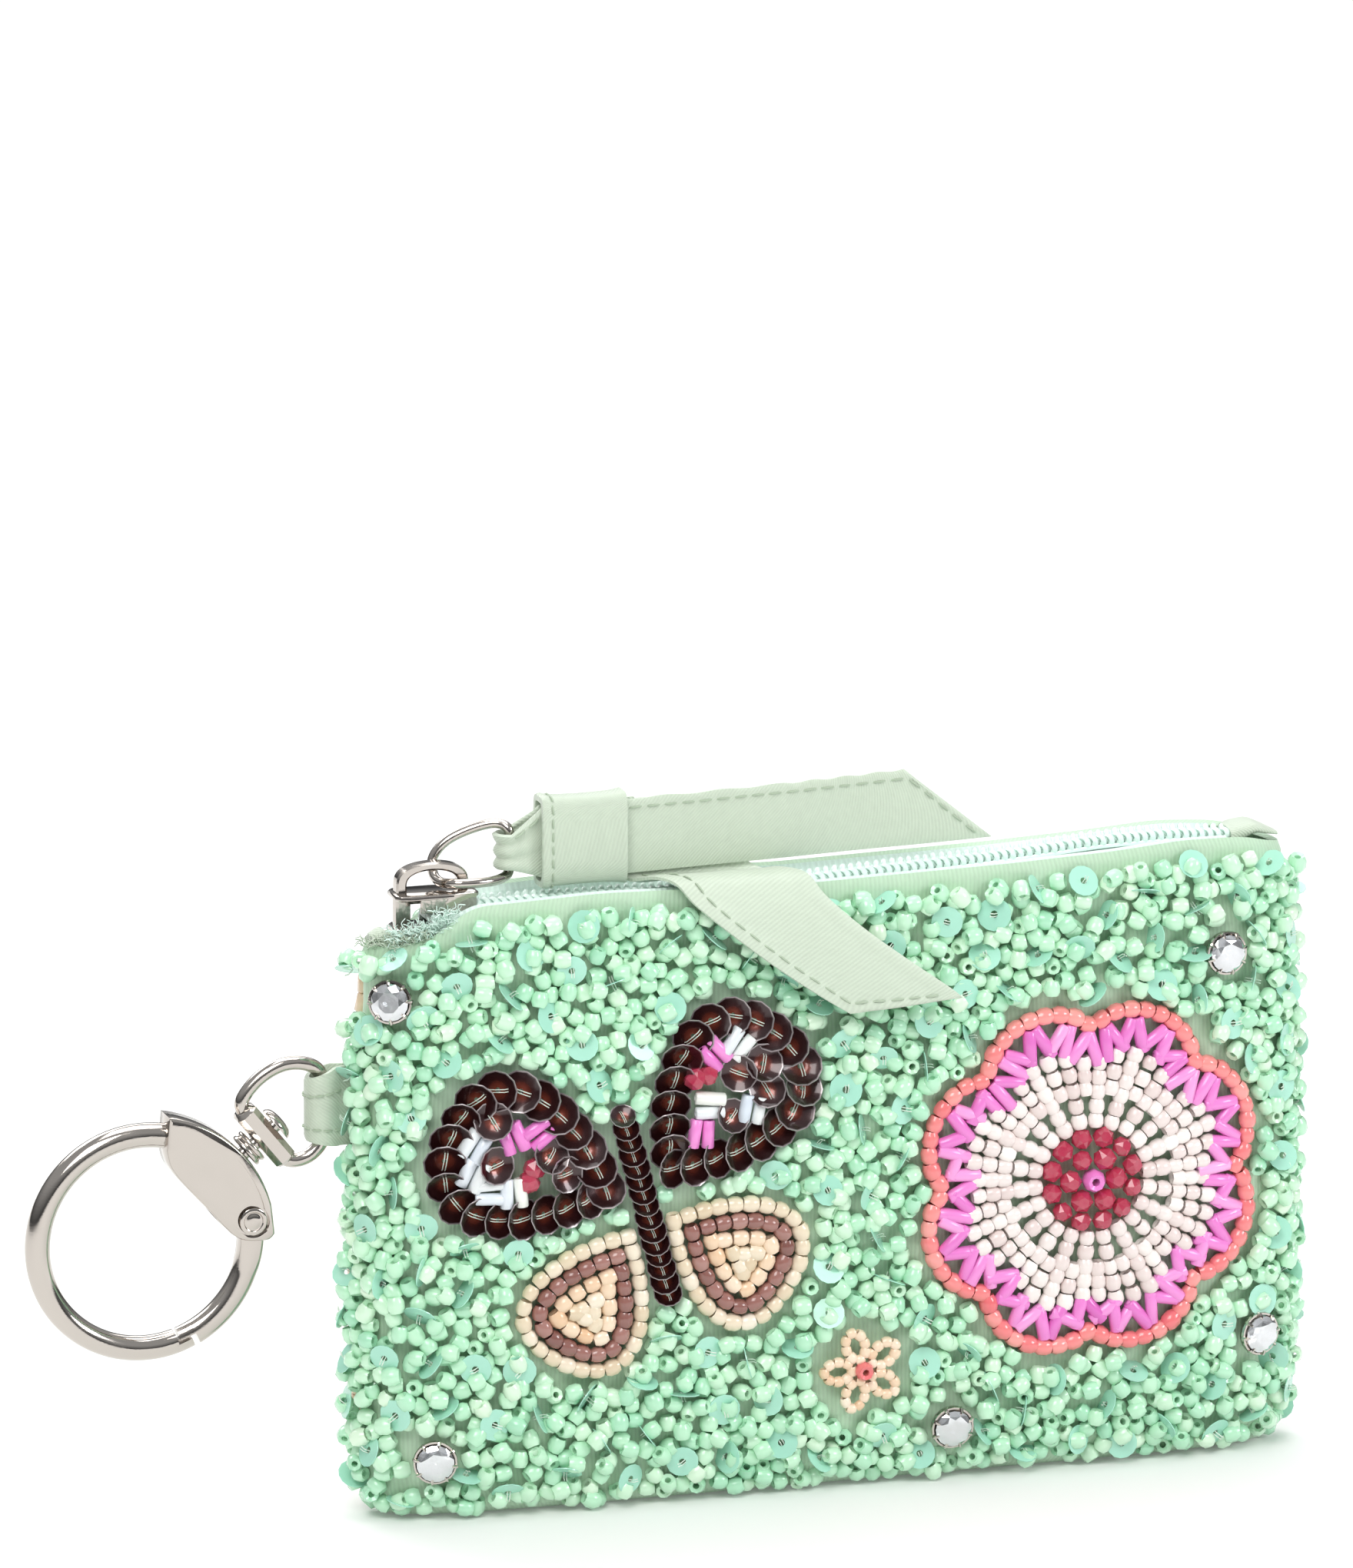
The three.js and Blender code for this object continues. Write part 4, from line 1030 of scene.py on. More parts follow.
@dataclass
class Panel:
    """One satin panel of the pouch, with its lining turned in over the rim."""

    form: PouchForm
    side: Side
    crust: float = 2.0
    rim_inset: float = 0.45
    wall: float = 3.0
    columns: int = 150

    def cut(self) -> float:
        """The Y at which the panel is sewn to the other."""
        return self.form.seam + self.side.value * self.form.gap / 2

    def inset(self, height: float) -> float:
        """How deep the satin lies under the form, less and less towards the rim."""
        return float(np.interp(height, [0, 0.02, 0.9, 0.95, 0.982, 1], [1.2, 2.0, 2.0, 1.6, 0.7, self.rim_inset]))

    def build(self, look: Look, name: str) -> bpy.types.Object:
        """Builds the panel as one closed cloth.

        Args:
            look: its finish.
            name: its name.

        Returns:
            The object.
        """
        cut, form = self.cut(), self.form
        outer_levels = [0, 0.006, 0.012, 0.025, 0.04, 0.07, 0.1, 0.16, 0.24, 0.32, 0.4, 0.5, 0.6, 0.68, 0.75, 0.82,
                        0.86, 0.9, 0.925, 0.94, 0.955, 0.965, 0.975, 0.985, 0.993, 1.0]
        inner_levels = [0.993, 0.97, 0.93, 0.85, 0.7, 0.5, 0.3, 0.1, 0.03]
        outer = [form.row(self.side, h, self.inset(h), 0.35, self.columns, cut) for h in outer_levels]
        inner = [
            form.row(self.side, h, self.wall * float(form.section(h, 3)), 3.0, self.columns, cut) for h in inner_levels
        ]
        rows = [self.seam_line(outer[0], cut), *outer, *inner, self.seam_line(inner[-1], cut)]
        grid = np.array(rows)
        rings = [grid[:, at] for at in range(self.columns)]
        shape = loft(rings)
        along = np.linalg.norm(np.diff(outer[10], axis=0), axis=1).cumsum()
        along = np.concatenate([[0], along])
        down = np.concatenate([[0], np.linalg.norm(np.diff(grid[:, self.columns // 2], axis=0), axis=1).cumsum()])
        shape.weave = np.stack([
            np.repeat(along, len(rows)), np.tile(down, self.columns), np.zeros(len(rows) * self.columns)
        ], 1)
        return make_object(name, shape, look.material(), 50)

    def seam_line(self, row: Points, cut: float) -> Points:
        """The line under a row at which the base is sewn to the other panel."""
        share = np.linspace(0, 1, self.columns)[:, None]
        line = row[0] * (1 - share) + row[-1] * share
        line[:, 1] = cut
        return line


@dataclass
class CrustSurface:
    """The surface on which the middles of a panel's beads lie."""

    form: PouchForm
    side: Side
    panel: Panel
    bead: float = 2.2
    columns: int = 140
    tree: BVHTree = field(init=False)
    corners: Points = field(init=False)

    def __post_init__(self) -> None:
        """Builds the surface over the satin."""
        levels = np.concatenate([[0.0, 0.015, 0.03, 0.05], np.linspace(0.08, 0.9, 26), [0.92, 0.94, 0.955, 0.97, 0.985]])
        cut = self.panel.cut() + self.side.value * self.bead / 2
        half = self.bead / 2
        rows = [
            self.form.row(self.side, h, self.panel.inset(h) - 0.93 * half, 1.42, self.columns, cut) for h in levels
        ]
        shape = loft(rows, closed=False, caps=False)
        self.tree = BVHTree.FromPolygons(shape.points.tolist(), shape.faces)
        self.corners = np.array([[shape.points[i] for i in face] for face in shape.faces])

    def sample(self, count: int, rng: np.random.Generator) -> Points:
        """Points at random, evenly over the surface."""
        a, b, c, d = (self.corners[:, i] for i in range(4))
        area = np.linalg.norm(np.cross(c - a, d - b), axis=1)
        which = rng.choice(len(area), count, p=area / area.sum())
        u, v = rng.random(count)[:, None], rng.random(count)[:, None]
        return (a[which] * (1 - u) + b[which] * u) * (1 - v) + (d[which] * (1 - u) + c[which] * u) * v

    def settle(self, points: Points) -> tuple[Points, Points]:
        """The nearest points of the surface, and the directions that it faces there, outwards."""
        found = [self.tree.find_nearest(Vector(p)) for p in points]
        places = np.array([hit[0][:] for hit in found])
        normals = np.array([hit[1][:] for hit in found])
        middle = np.array([0, self.form.seam, self.form.height / 2])
        outwards = np.sign(((places - middle) * normals * [0.02, 1, 0.02]).sum(1, keepdims=True))
        sidewards = np.abs(normals[:, 1:2]) < 0.3
        ends = np.sign((places[:, :1]) * normals[:, :1])
        return places, normals * np.where(sidewards, ends, outwards)

    def scatter(
        self, spacing: float, keep: Callable[[Points], np.ndarray], rng: np.random.Generator, rounds: int = 7
    ) -> tuple[Points, Points]:
        """Places at random that keep a distance from each other, evened out.

        Args:
            spacing: the least distance.
            keep: tells which places may be used.
            rng: the source of the random places.
            rounds: how often the places push each other apart.

        Returns:
            The places and the directions that the surface faces there.
        """
        offered = self.sample(int(30000 * (2 / spacing) ** 2), rng)
        offered = offered[keep(offered)]
        cells: dict[tuple[int, int, int], list[int]] = {}
        taken: list[Points] = []
        keys = np.floor(offered / spacing).astype(int)
        around = [(i, j, k) for i in (-1, 0, 1) for j in (-1, 0, 1) for k in (-1, 0, 1)]
        for point, key in zip(offered, keys):
            near = [n for i, j, k in around for n in cells.get((key[0] + i, key[1] + j, key[2] + k), ())]
            if near and np.min(((np.array([taken[n] for n in near]) - point) ** 2).sum(1)) < spacing**2:
                continue
            cells.setdefault(tuple(key), []).append(len(taken))
            taken.append(point)
        points = np.array(taken)
        reach = 1.22 * spacing
        for _ in range(rounds):
            kd = KDTree(len(points))
            for at, point in enumerate(points):
                kd.insert(point, at)
            kd.balance()
            moved = points.copy()
            for at, point in enumerate(points):
                for other, index, distance in kd.find_range(point, reach):
                    if index != at and distance > 1e-6:
                        moved[at] += (point - np.array(other)) * (0.3 * (reach - distance) / distance)
            points, _ = self.settle(moved)
        points = points[keep(points)]
        return self.settle(points)


@dataclass
class BeadedPanel:
    """The beads and sequins sewn all over a panel, but not where something else is."""

    form: PouchForm
    side: Side
    panel: Panel
    sewing: Sewing
    bead: float = 2.2
    spacing: float = 1.74
    sequin_spacing: float = 4.7
    heap_spacing: float = 3.1
    piping: bool = False
    blocked: list[Points] = field(default_factory=list)
    studs: list[tuple[float, float]] = field(default_factory=list)

    def free(self, points: Points, margin: float = 1.0) -> np.ndarray:
        """Whether beads may lie at places on the crust."""
        cut = self.panel.cut() + self.side.value * (self.bead / 2 - 0.05)
        keep = (points[:, 1] - cut) * self.side.value >= (0.9 if self.piping else -0.01)
        keep &= points[:, 2] >= 1.4
        # Only a narrow strip of satin is left bare, and hardly any beside the slider
        bare = np.where(points[:, 0] < -47, 0.3, 1.5)
        keep &= points[:, 2] <= self.form.rim(points[:, 0]) - bare - 0.35 * self.bead
        # The side tab is sewn into the seam
        keep &= ~((points[:, 0] < -56) & (np.abs(points[:, 2] - 50) < 6) & (np.abs(points[:, 1] - 2.5) < 2.6))
        if self.side is Side.FRONT:
            flat = points[:, [0, 2]]
            for outline in self.blocked:
                keep &= ~inside(flat, outline) & (edge_distance(flat, outline) > margin)
            for x, z in self.studs:
                keep &= np.hypot(flat[:, 0] - x, flat[:, 1] - z) > 3.75
        return keep

    def ways(self, points: Points, facing: Points, rng: np.random.Generator) -> Points:
        """The threads' directions, which wander slowly over the panel and differ from stitch to stitch."""
        level = unit(np.cross([0.0, 0.0, 1.0], facing))
        rise = np.cross(facing, level)
        x, z = points[:, 0], points[:, 2]
        angle = 2.4 * np.sin(0.21 * x + 0.13 * z) + 2.1 * np.sin(0.11 * x - 0.24 * z + 2) + 1.3 * np.sin(0.4 * x + 1)
        angle = (angle + rng.normal(0, 0.6, len(x)))[:, None]
        return np.cos(angle) * level + np.sin(angle) * rise

    def beads(self, sequins: Points) -> Places:
        """The places of the beads, which leave room for the sequins."""
        rng = np.random.default_rng(11 if self.side is Side.FRONT else 23)
        surface = CrustSurface(self.form, self.side, self.panel, self.bead)
        places, facing = surface.scatter(self.spacing, self.free, rng)
        if len(sequins):
            kd = KDTree(len(sequins))
            for at, point in enumerate(sequins):
                kd.insert(point, at)
            kd.balance()
            away = np.array([kd.find(point)[2] for point in places])
            places, facing = places[away > 1.35], facing[away > 1.35]
        aim = self.ways(places, facing, rng)
        aim = unit(aim + facing * rng.normal(0, 0.3, (len(aim), 1)))
        upright = rng.random(len(aim)) < 0.12
        aim[upright] = unit(facing[upright] + 0.5 * rng.normal(size=(int(upright.sum()), 3)))
        lifted = places + facing * rng.uniform(-0.2, 0.25, (len(places), 1))
        lengths = rng.uniform(0.86, 1.08, len(places))
        found = Places.of(lifted, aim, facing + 0.3 * rng.normal(size=facing.shape), rng)
        found.size[:, 2] *= lengths
        if not self.heap_spacing:
            return found
        # Short strings ride up over the others
        places, facing = surface.scatter(self.heap_spacing, lambda p: self.free(p, 1.6) & (p[:, 2] > 1.9), rng, 1)
        ways = self.ways(places, facing, rng)
        at = places + facing * rng.uniform(0.7, 1.0, (len(places), 1))
        over = Places.of(at, unit(ways + 0.3 * facing * rng.normal(size=(len(at), 1))), facing, rng)
        return Places.joined([found, over])

    def sequins(self) -> tuple[Places, Points]:
        """The places of the sequins, lying or on edge, and the points under them."""
        rng = np.random.default_rng(5 if self.side is Side.FRONT else 6)
        surface = CrustSurface(self.form, self.side, self.panel, self.bead)
        places, facing = surface.scatter(self.sequin_spacing, lambda p: self.free(p, 2.0) & (p[:, 2] > 2.6), rng, 2)
        ways = self.ways(places, facing, rng)
        lean = np.where(rng.random(len(places)) < 0.5, rng.uniform(55, 85, len(places)), rng.uniform(8, 42, len(places)))
        lean = np.radians(lean)[:, None]
        aim = np.cos(lean) * facing + np.sin(lean) * ways
        raised = places + facing * (1.05 - 0.6 * np.sin(lean))
        return Places.of(raised, aim, facing + ways, rng), places

    def edging(self, name: str) -> bpy.types.Object:
        """A row of cream bugles along the panel's seam."""
        surface = CrustSurface(self.form, self.side, self.panel, self.bead)
        rows = [self.form.row(self.side, h, 1.0, 1.42, 200, self.panel.cut() + 1.0) for h in np.linspace(0.02, 0.93, 60)]
        rows = np.array(rows)
        turn = [*rows[::-1, 0], *rows[0, 2:-2:2], *rows[:, -1]]
        spots, ways = spaced(surface.settle(np.array(turn))[0], 2.35)
        at, facing = surface.settle(spots)
        clear = (at[:, 0] > -56) | (np.abs(at[:, 2] - 50) > 6)
        places = Places.of(at + 0.1 * facing, ways, facing, np.random.default_rng(12)).only(clear)
        return hand_over(self.sewing.sew(name, bugle(1.8, 2.2), places, Look.PEACH, 5, 2), Body.POUCH, Slot.CREAM)

    def build(self, look: Look, prefix: str, *nodes: str) -> list[bpy.types.Object]:
        """Sews on the beads, the sequins and the sequins' threads.

        Args:
            look: the finish of the beads.
            prefix: the start of the pieces' names.
            nodes: the nodes that the beads stand for.

        Returns:
            The objects.
        """
        made = []
        slot = Slot.MINT if self.side is Side.FRONT else Slot.PLAIN
        under = np.zeros((0, 3))
        if self.sequin_spacing:
            places, under = self.sequins()
            discs = self.sewing.sew(f"{prefix}_sequins", flat_sequin(), places, Look.AQUA, 3, 3)
            made.append(hand_over(discs, Body.POUCH, slot))
            flat = Places(places.at + places.aim * 0.05, places.facing, places.aim, places.size, places.tone)
            turned = cross_threads(2.1, 0.28)
            turned = turned.placed(Matrix.Rotation(math.pi / 2, 4, "Y"))
            threads = self.sewing.sew(f"{prefix}_sequin_threads", turned, flat, Look.THREAD, 3, 3)
            made.append(hand_over(threads, Body.POUCH, slot))
        if self.piping:
            made.append(self.edging(f"{prefix}_edging"))
        places = self.beads(under)
        for half, keep in (("left", places.at[:, 0] < 0), ("right", places.at[:, 0] >= 0)):
            name = f"{prefix}_beads_{half}"
            beads = self.sewing.sew(name, bead(self.bead), places.only(keep), look, 5, 2)
            made.append(hand_over(beads, Body.POUCH, slot, *nodes))
        return made


# The motifs


def turned(points: Points, angle: float, centre: Sequence[float]) -> Points:
    """Flat points turned about the origin and moved to a centre."""
    c, s = math.cos(math.radians(angle)), math.sin(math.radians(angle))
    x, z = points[:, 0], points[:, 1]
    return np.stack([centre[0] + x * c - z * s, centre[1] + x * s + z * c], 1)


def drop(length: float, width: float, angle: float, root: Sequence[float], steps: int = 24) -> Points:
    """A drop-shaped outline from its root, blunt at its far end."""
    share = 1 - (1 - np.arange(1, steps) / steps) ** 1.5
    aside = (share**0.9 * (1 - share) ** 0.45) / 0.4236 * width / 2
    edge = np.vstack([
        [[0, 0]], np.stack([share * length, -aside], 1), [[length, 0]],
        np.stack([share * length, aside], 1)[::-1],
    ])
    return turned(edge, angle, root)


def petalled(radius: float, petals: int, swell: float, centre: Sequence[float], steps: int = 16) -> Points:
    """A flower's outline, whose edge swells out once for each petal."""
    angle = np.arange(petals * steps) * 2 * np.pi / (petals * steps)
    reach = radius * (1 - swell * (1 - np.abs(np.sin(petals * angle / 2)) ** 0.7))
    return np.stack([centre[0] + reach * np.cos(angle), centre[1] + reach * np.sin(angle)], 1)


@dataclass
class Embroidery:
    """Tools for what is sewn in lines on the front."""

    form: PouchForm
    sewing: Sewing
    rng: np.random.Generator

    def line(
        self, flat: Points, pitch: float, lift: float, closed: bool = False, size: Sequence[float] = (1, 1, 1)
    ) -> Places:
        """Pieces strung along a line, end to end.

        Args:
            flat: the line's flat points.
            pitch: the distance between two pieces.
            lift: the height of their middles over the form.
            closed: whether the line returns to its start.
            size: the scale of each piece.

        Returns:
            The places.
        """
        spots, ways = spaced(flat, pitch, closed)
        at, facing = self.form.on(spots, lift)
        ahead, _ = self.form.on(spots + 0.2 * ways, lift)
        return Places.of(at, unit(ahead - at), facing, self.rng, size)

    def spots(
        self, flat: Points, ways: Points, lift: float, lean: float = 0.0, size: Sequence[float] = (1, 1, 1),
        lying: bool = True,
    ) -> Places:
        """Pieces at flat places.

        Args:
            flat: the places.
            ways: a flat direction for each.
            lift: the height of their middles over the form.
            lean: how many degrees a standing piece leans along its direction.
            size: the scale of each piece.
            lying: whether the pieces lie along their directions or stand square to the form.

        Returns:
            The places.
        """
        at, facing = self.form.on(flat, lift)
        ahead, _ = self.form.on(flat + 0.2 * ways, lift)
        along = unit(ahead - at)
        if lying:
            return Places.of(at, along, facing, self.rng, size)
        tilt = math.radians(lean)
        return Places.of(at, math.cos(tilt) * facing + math.sin(tilt) * along, along, self.rng, size)

    def cups(self, name: str, places: Places, *nodes: str) -> list[bpy.types.Object]:
        """Sews on cup sequins with the two threads that hold each."""
        cups = self.sewing.sew(name, cup_sequin(), places, Look.BROWN, 5, 7, 40)
        over = Places(places.at + places.aim * 0.1, places.aim, places.facing, places.size, places.tone)
        threads = self.sewing.sew(f"{name}_threads", cross_threads(3.1, 0.55), over, Look.THREAD, 5, 7)
        return [
            hand_over(cups, Body.POUCH, Slot.BROWN, *nodes),
            hand_over(threads, Body.POUCH, Slot.BROWN),
        ]

    def beads(
        self, name: str, places: Places, look: Look, slot: Slot, template: Shape | None = None, nodes: Sequence[str] = ()
    ) -> bpy.types.Object:
        """Sews on beads of one finish."""
        sharp = 12 if look in (Look.RED, Look.CLEAR) else 60
        made = self.sewing.sew(name, template or bead(), places, look, 5, 9, sharp)
        return hand_over(made, Body.POUCH, slot, *nodes)


@dataclass
class Butterfly:
    """The butterfly: upper wings edged with cup sequins, lower wings of beads in rows, and a body."""

    work: Embroidery
    centre: tuple[float, float] = (-25.2, 37.5)
    tilt: float = 14.0
    body_length: float = 25.0
    body_width: float = 3.4
    upper: tuple[float, float, float] = (25.0, 20.0, 36.0)
    lower: tuple[float, float, float] = (19.5, 17.0, -46.0)

    def wing(self, size: tuple[float, float, float], side: int) -> Points:
        """The outline of one wing."""
        length, width, angle = size
        root = turned(
            np.array([[side * (self.body_width / 2 + 0.3), math.copysign(0.08 * self.upper[0], angle)]]),
            self.tilt, self.centre,
        )[0]
        return drop(length, width, (angle if side > 0 else 180 - angle) + self.tilt, root)

    def outlines(self) -> list[Points]:
        """Every outline that the plain beads keep clear of."""
        angle = np.arange(40) * 2 * np.pi / 40
        body = np.stack([np.cos(angle) * self.body_width / 2, np.sin(angle) * self.body_length / 2], 1)
        wings = [self.wing(size, side) for size in (self.upper, self.lower) for side in (-1, 1)]
        return [*wings, turned(body, self.tilt, self.centre)]

    def fill(self, field: Points, *piles: list[Places]) -> None:
        """Fills the middle of an upper wing with loose cups and pairs of bugles and cut beads.

        Args:
            field: the outline of the middle.
            piles: where the places of the cups, the pale bugles, the pink bugles and the cut beads go.
        """
        work, rng = self.work, self.work.rng
        low, high = field.min(0), field.max(0)
        tried = rng.uniform(low, high, (4000, 2))
        tried = tried[inside(tried, field)]
        taken: list[Points] = []
        for point in tried:
            if not taken or np.min(np.linalg.norm(np.array(taken) - point, axis=1)) > 2.75:
                taken.append(point)
        for at, point in enumerate(taken):
            angle = rng.uniform(0, math.pi)
            way = np.array([[math.cos(angle), math.sin(angle)]])
            pile = piles[(0, 1, 0, 2, 1, 3)[at % 6]]
            if pile is piles[0]:
                pile.append(work.spots(point[None], way, -0.05, 24, (0.86, 0.86, 1), lying=False))
                continue
            aside = np.array([[-way[0, 1], way[0, 0]]]) * 0.85
            size = (0.95,) * 3 if pile is piles[3] else (1, 1, 0.85)
            pile.extend(work.spots(point[None] + step * aside, way, -0.1, size=size) for step in (-1, 1))

    def build(self) -> None:
        """Sews the butterfly."""
        work = self.work
        cups, brights, pinks, reds, creams, mauves, peaches = [], [], [], [], [], [], []
        for side in (-1, 1):
            outline = self.wing(self.upper, side)
            edge, ways = spaced(shrunk(outline, 2.1), 2.75, True)
            cups.append(work.spots(edge, ways, -0.6, 27, (0.96, 0.96, 1), lying=False))
            self.fill(shrunk(outline, 5.0), cups, brights, pinks, reds)
            outline = self.wing(self.lower, side)
            for at, (inset, pile) in enumerate(((1.1, creams), (3.15, mauves), (5.2, peaches), (7.2, creams))):
                line = shrunk(outline, inset)
                if len(line) > 12:
                    pile.append(work.line(line, 2.0, -0.75 + 0.12 * at, True, (0.95, 0.95, 0.95)))
        spine = turned(np.stack([np.zeros(15), np.linspace(-11.4, 11.4, 15)], 1), self.tilt, self.centre)
        ways = np.tile(turned(np.array([[0.0, 1.0]]), self.tilt, (0, 0)), (15, 1))
        cups.append(work.spots(spine, ways, -0.35, 46, (0.66,) * 3, lying=False))
        work.cups("butterfly_cups", Places.joined(cups), "wing_upper_left", "wing_upper_right", "butterfly_body")
        work.beads("butterfly_bugles", Places.joined(brights), Look.WHITE, Slot.BROWN, bugle())
        work.beads("butterfly_pink_bugles", Places.joined(pinks), Look.PINK, Slot.PINK, bugle())
        work.beads("butterfly_red_beads", Places.joined(reds), Look.RED, Slot.RED, cut_bead())
        work.beads(
            "butterfly_cream_beads", Places.joined(creams), Look.CREAM, Slot.CREAM,
            nodes=("wing_lower_left", "wing_lower_right"),
        )
        work.beads("butterfly_mauve_beads", Places.joined(mauves), Look.MAUVE, Slot.CREAM)
        work.beads("butterfly_peach_beads", Places.joined(peaches), Look.PEACH, Slot.CREAM)


@dataclass
class Daisy:
    """The flower: a coral edge, a border of zigzag bugles, petals of beads in rays, and a heart of cut glass."""

    work: Embroidery
    centre: tuple[float, float] = (30.9, 36.375)
    radius: float = 22.5
    border: float = 5.6
    heart: float = 6.0
    petals: int = 8

    def outline(self) -> Points:
        """The outer edge."""
        return petalled(self.radius, self.petals, 0.12, self.centre)

    def field(self) -> Points:
        """The edge of the petals."""
        return petalled(self.radius - self.border, self.petals, 0.16, self.centre)

    def around(self, radius: float, count: int, turn: float = 0.0) -> tuple[Points, Points]:
        """Places on a circle round the heart, with their outward directions."""
        angle = (np.arange(count) + turn) * 2 * np.pi / count
        ways = np.stack([np.cos(angle), np.sin(angle)], 1)
        return np.array(self.centre) + radius * ways, ways

    def build(self) -> None:
        """Sews the flower."""
        work = self.work
        work.beads(
            "daisy_coral_beads", work.line(shrunk(self.outline(), 1.0), 1.95, -0.8, True), Look.CORAL, Slot.PINK,
        )
        row, along = spaced(shrunk(self.outline(), 4.0), 1.78, True)
        outwards = np.stack([along[:, 1], -along[:, 0]], 1)
        lean = np.where(np.arange(len(row)) % 2 == 0, 0.5, -0.5)[:, None]
        bugles = work.spots(row, unit(outwards + lean * along), -0.65)
        work.beads("daisy_bugles", bugles, Look.PINK, Slot.PINK, bugle(), ("daisy_border",))
        rays = []
        edge = self.field() - np.array(self.centre)
        bearing = np.arctan2(edge[:, 1], edge[:, 0])
        order = np.argsort(bearing)
        count = 44
        for ray in range(count):
            angle = (ray + 0.5) * 2 * np.pi / count - np.pi
            reach = np.interp(angle, bearing[order], np.linalg.norm(edge, axis=1)[order], period=2 * np.pi)
            start = 7.4 if ray % 2 == 0 else 11.4
            way = np.array([math.cos(angle), math.sin(angle)])
            line = np.array(self.centre) + np.linspace(start - 1, reach - 0.1, 8)[:, None] * way
            rays.append(work.line(line, 1.85, -0.75, size=(0.93, 0.93, 0.9)))
        work.beads("daisy_blush_beads", Places.joined(rays), Look.BLUSH, Slot.BLUSH, nodes=("daisy_petals",))
        inner, ways = self.around(2.9, 6)
        outer, outward = self.around(5.3, 12, 0.5)
        reds = Places.joined([
            work.spots(inner, ways, -0.1, lying=False, size=(0.95,) * 3),
            work.spots(outer, outward, -0.45, 20, lying=False, size=(0.88,) * 3),
        ])
        work.beads("daisy_heart_red", reds, Look.RED, Slot.RED, cut_bead(), ("daisy_heart",))
        middle, way = self.around(0.0, 1)
        work.beads("daisy_heart_pink", work.spots(middle, way, 0.1, lying=False, size=(1.3,) * 3), Look.PINK, Slot.PINK)


@dataclass
class Bud:
    """The small flower between the two motifs: loops of peach beads round a coral bead."""

    work: Embroidery
    centre: tuple[float, float] = (2.1, 15.0)
    radius: float = 5.8
    petals: int = 5

    def outline(self) -> Points:
        """The outer edge."""
        return petalled(self.radius, self.petals, 0.2, self.centre)

    def build(self) -> None:
        """Sews the bud."""
        work, loops = self.work, []
        for petal in range(self.petals):
            angle = (petal + 0.5) * 2 * np.pi / self.petals
            way = np.array([math.cos(angle), math.sin(angle)])
            aside = np.array([-way[1], way[0]])
            turn = np.arange(24)[:, None] * 2 * np.pi / 24
            loop = np.array(self.centre) + (3.15 + 1.75 * np.cos(turn)) * way + 1.2 * np.sin(turn) * aside
            loops.append(work.line(loop, 1.2, -0.5, True, (0.62, 0.62, 0.6)))
        work.beads("bud_loops", Places.joined(loops), Look.PEACH, Slot.CREAM, nodes=("bud",))
        middle = work.spots(np.array([self.centre]), np.array([[1.0, 0.0]]), -0.1, lying=False, size=(1.1,) * 3)
        work.beads("bud_heart", middle, Look.CORAL, Slot.PINK)


@dataclass
class SetStones:
    """The brilliant-cut stones in their pronged cups."""

    form: PouchForm
    diameter: float = 4.6
    height: float = 2.05
    cup: float = 5.4
    cup_height: float = 1.95
    sink: float = 1.5
    places: tuple[tuple[str, float, float], ...] = (
        ("upper_left", -55.5, 63.98), ("upper_right", 48.0, 62.85), ("lower_right", 52.92, 15.0),
        ("lower_middle", 13.2, 7.13), ("lower_left", -51.0, 7.88),
    )

    def stand(self, x: float, z: float) -> Matrix:
        """The place of a stone, with its own Z square to the pouch."""
        at, facing = self.form.on(np.array([[x, z]]), 0.0)
        turn = Vector((0, 0, 1)).rotation_difference(Vector(facing[0])).to_matrix().to_4x4()
        return Matrix.Translation(Vector(at[0])) @ turn

    def stone(self) -> Shape:
        """A round brilliant cut."""
        r, low = self.diameter / 2 - 0.03, self.cup_height - self.sink + 0.15
        bottom = 0.3 + 0.4 - self.sink
        top = bottom + self.height
        return hull(np.vstack([
            ring_points(0.57 * r, top, 8), ring_points(0.8 * r, low + 0.62 * (top - low) + 0.1, 8, 0.5),
            ring_points(r, low + 0.16, 16), ring_points(r, low, 16), ring_points(0.55 * r, 0.45 * low + 0.55 * bottom, 8, 0.5),
            [[0, 0, bottom]],
        ]))

    def setting(self) -> Shape:
        """A pressed cup with a rolled rim and eight prongs bent over the stone."""
        outer, rim = self.cup / 2, self.cup_height - self.sink
        cup = lathe([
            (0.0, -self.sink), (0.6 * outer, -self.sink), (0.96 * outer, 0.4 - 0.5 * self.sink), (outer, rim - 0.25),
            (outer - 0.08, rim), (outer - 0.3, rim + 0.02), (outer - 0.34, rim - 0.2),
            (outer - 0.3, 0.45 - 0.5 * self.sink), (0.58 * outer, 0.35 - self.sink), (0.0, 0.3 - self.sink),
        ], 28)
        prongs = []
        for at in range(8):
            angle = (at + 0.5) * math.pi / 4
            way = np.array([math.cos(angle), math.sin(angle), 0.0])
            path = np.array([
                (outer - 0.12) * way + [0, 0, rim - 0.3], (outer - 0.16) * way + [0, 0, rim + 0.1],
                (outer - 0.42) * way + [0, 0, rim + 0.34], (outer - 0.8) * way + [0, 0, rim + 0.42],
            ])
            prongs.append(sweep(path, np.array([0.22, 0.24, 0.22, 0.14]), 6))
        return Shape.joined([cup, *prongs])

    def build(self) -> None:
        """Sets the stones."""
        stands = [(name, self.stand(x, z)) for name, x, z in self.places]
        stone, setting = self.stone(), self.setting()
        stones = Shape.joined([stone.placed(stand) for _, stand in stands])
        cups = Shape.joined([setting.placed(stand) for _, stand in stands])
        made = make_object("set_stones", stones, Look.CLEAR.material(), 8)
        hand_over(made, Body.POUCH, Slot.CRYSTAL, *[f"crystal_{name}" for name, _ in stands])
        made = make_object("stone_cups", cups, Look.NICKEL.material(), 40)
        hand_over(made, Body.POUCH, Slot.NICKEL, *[f"crystal_cup_{name}" for name, _ in stands])


# The zip


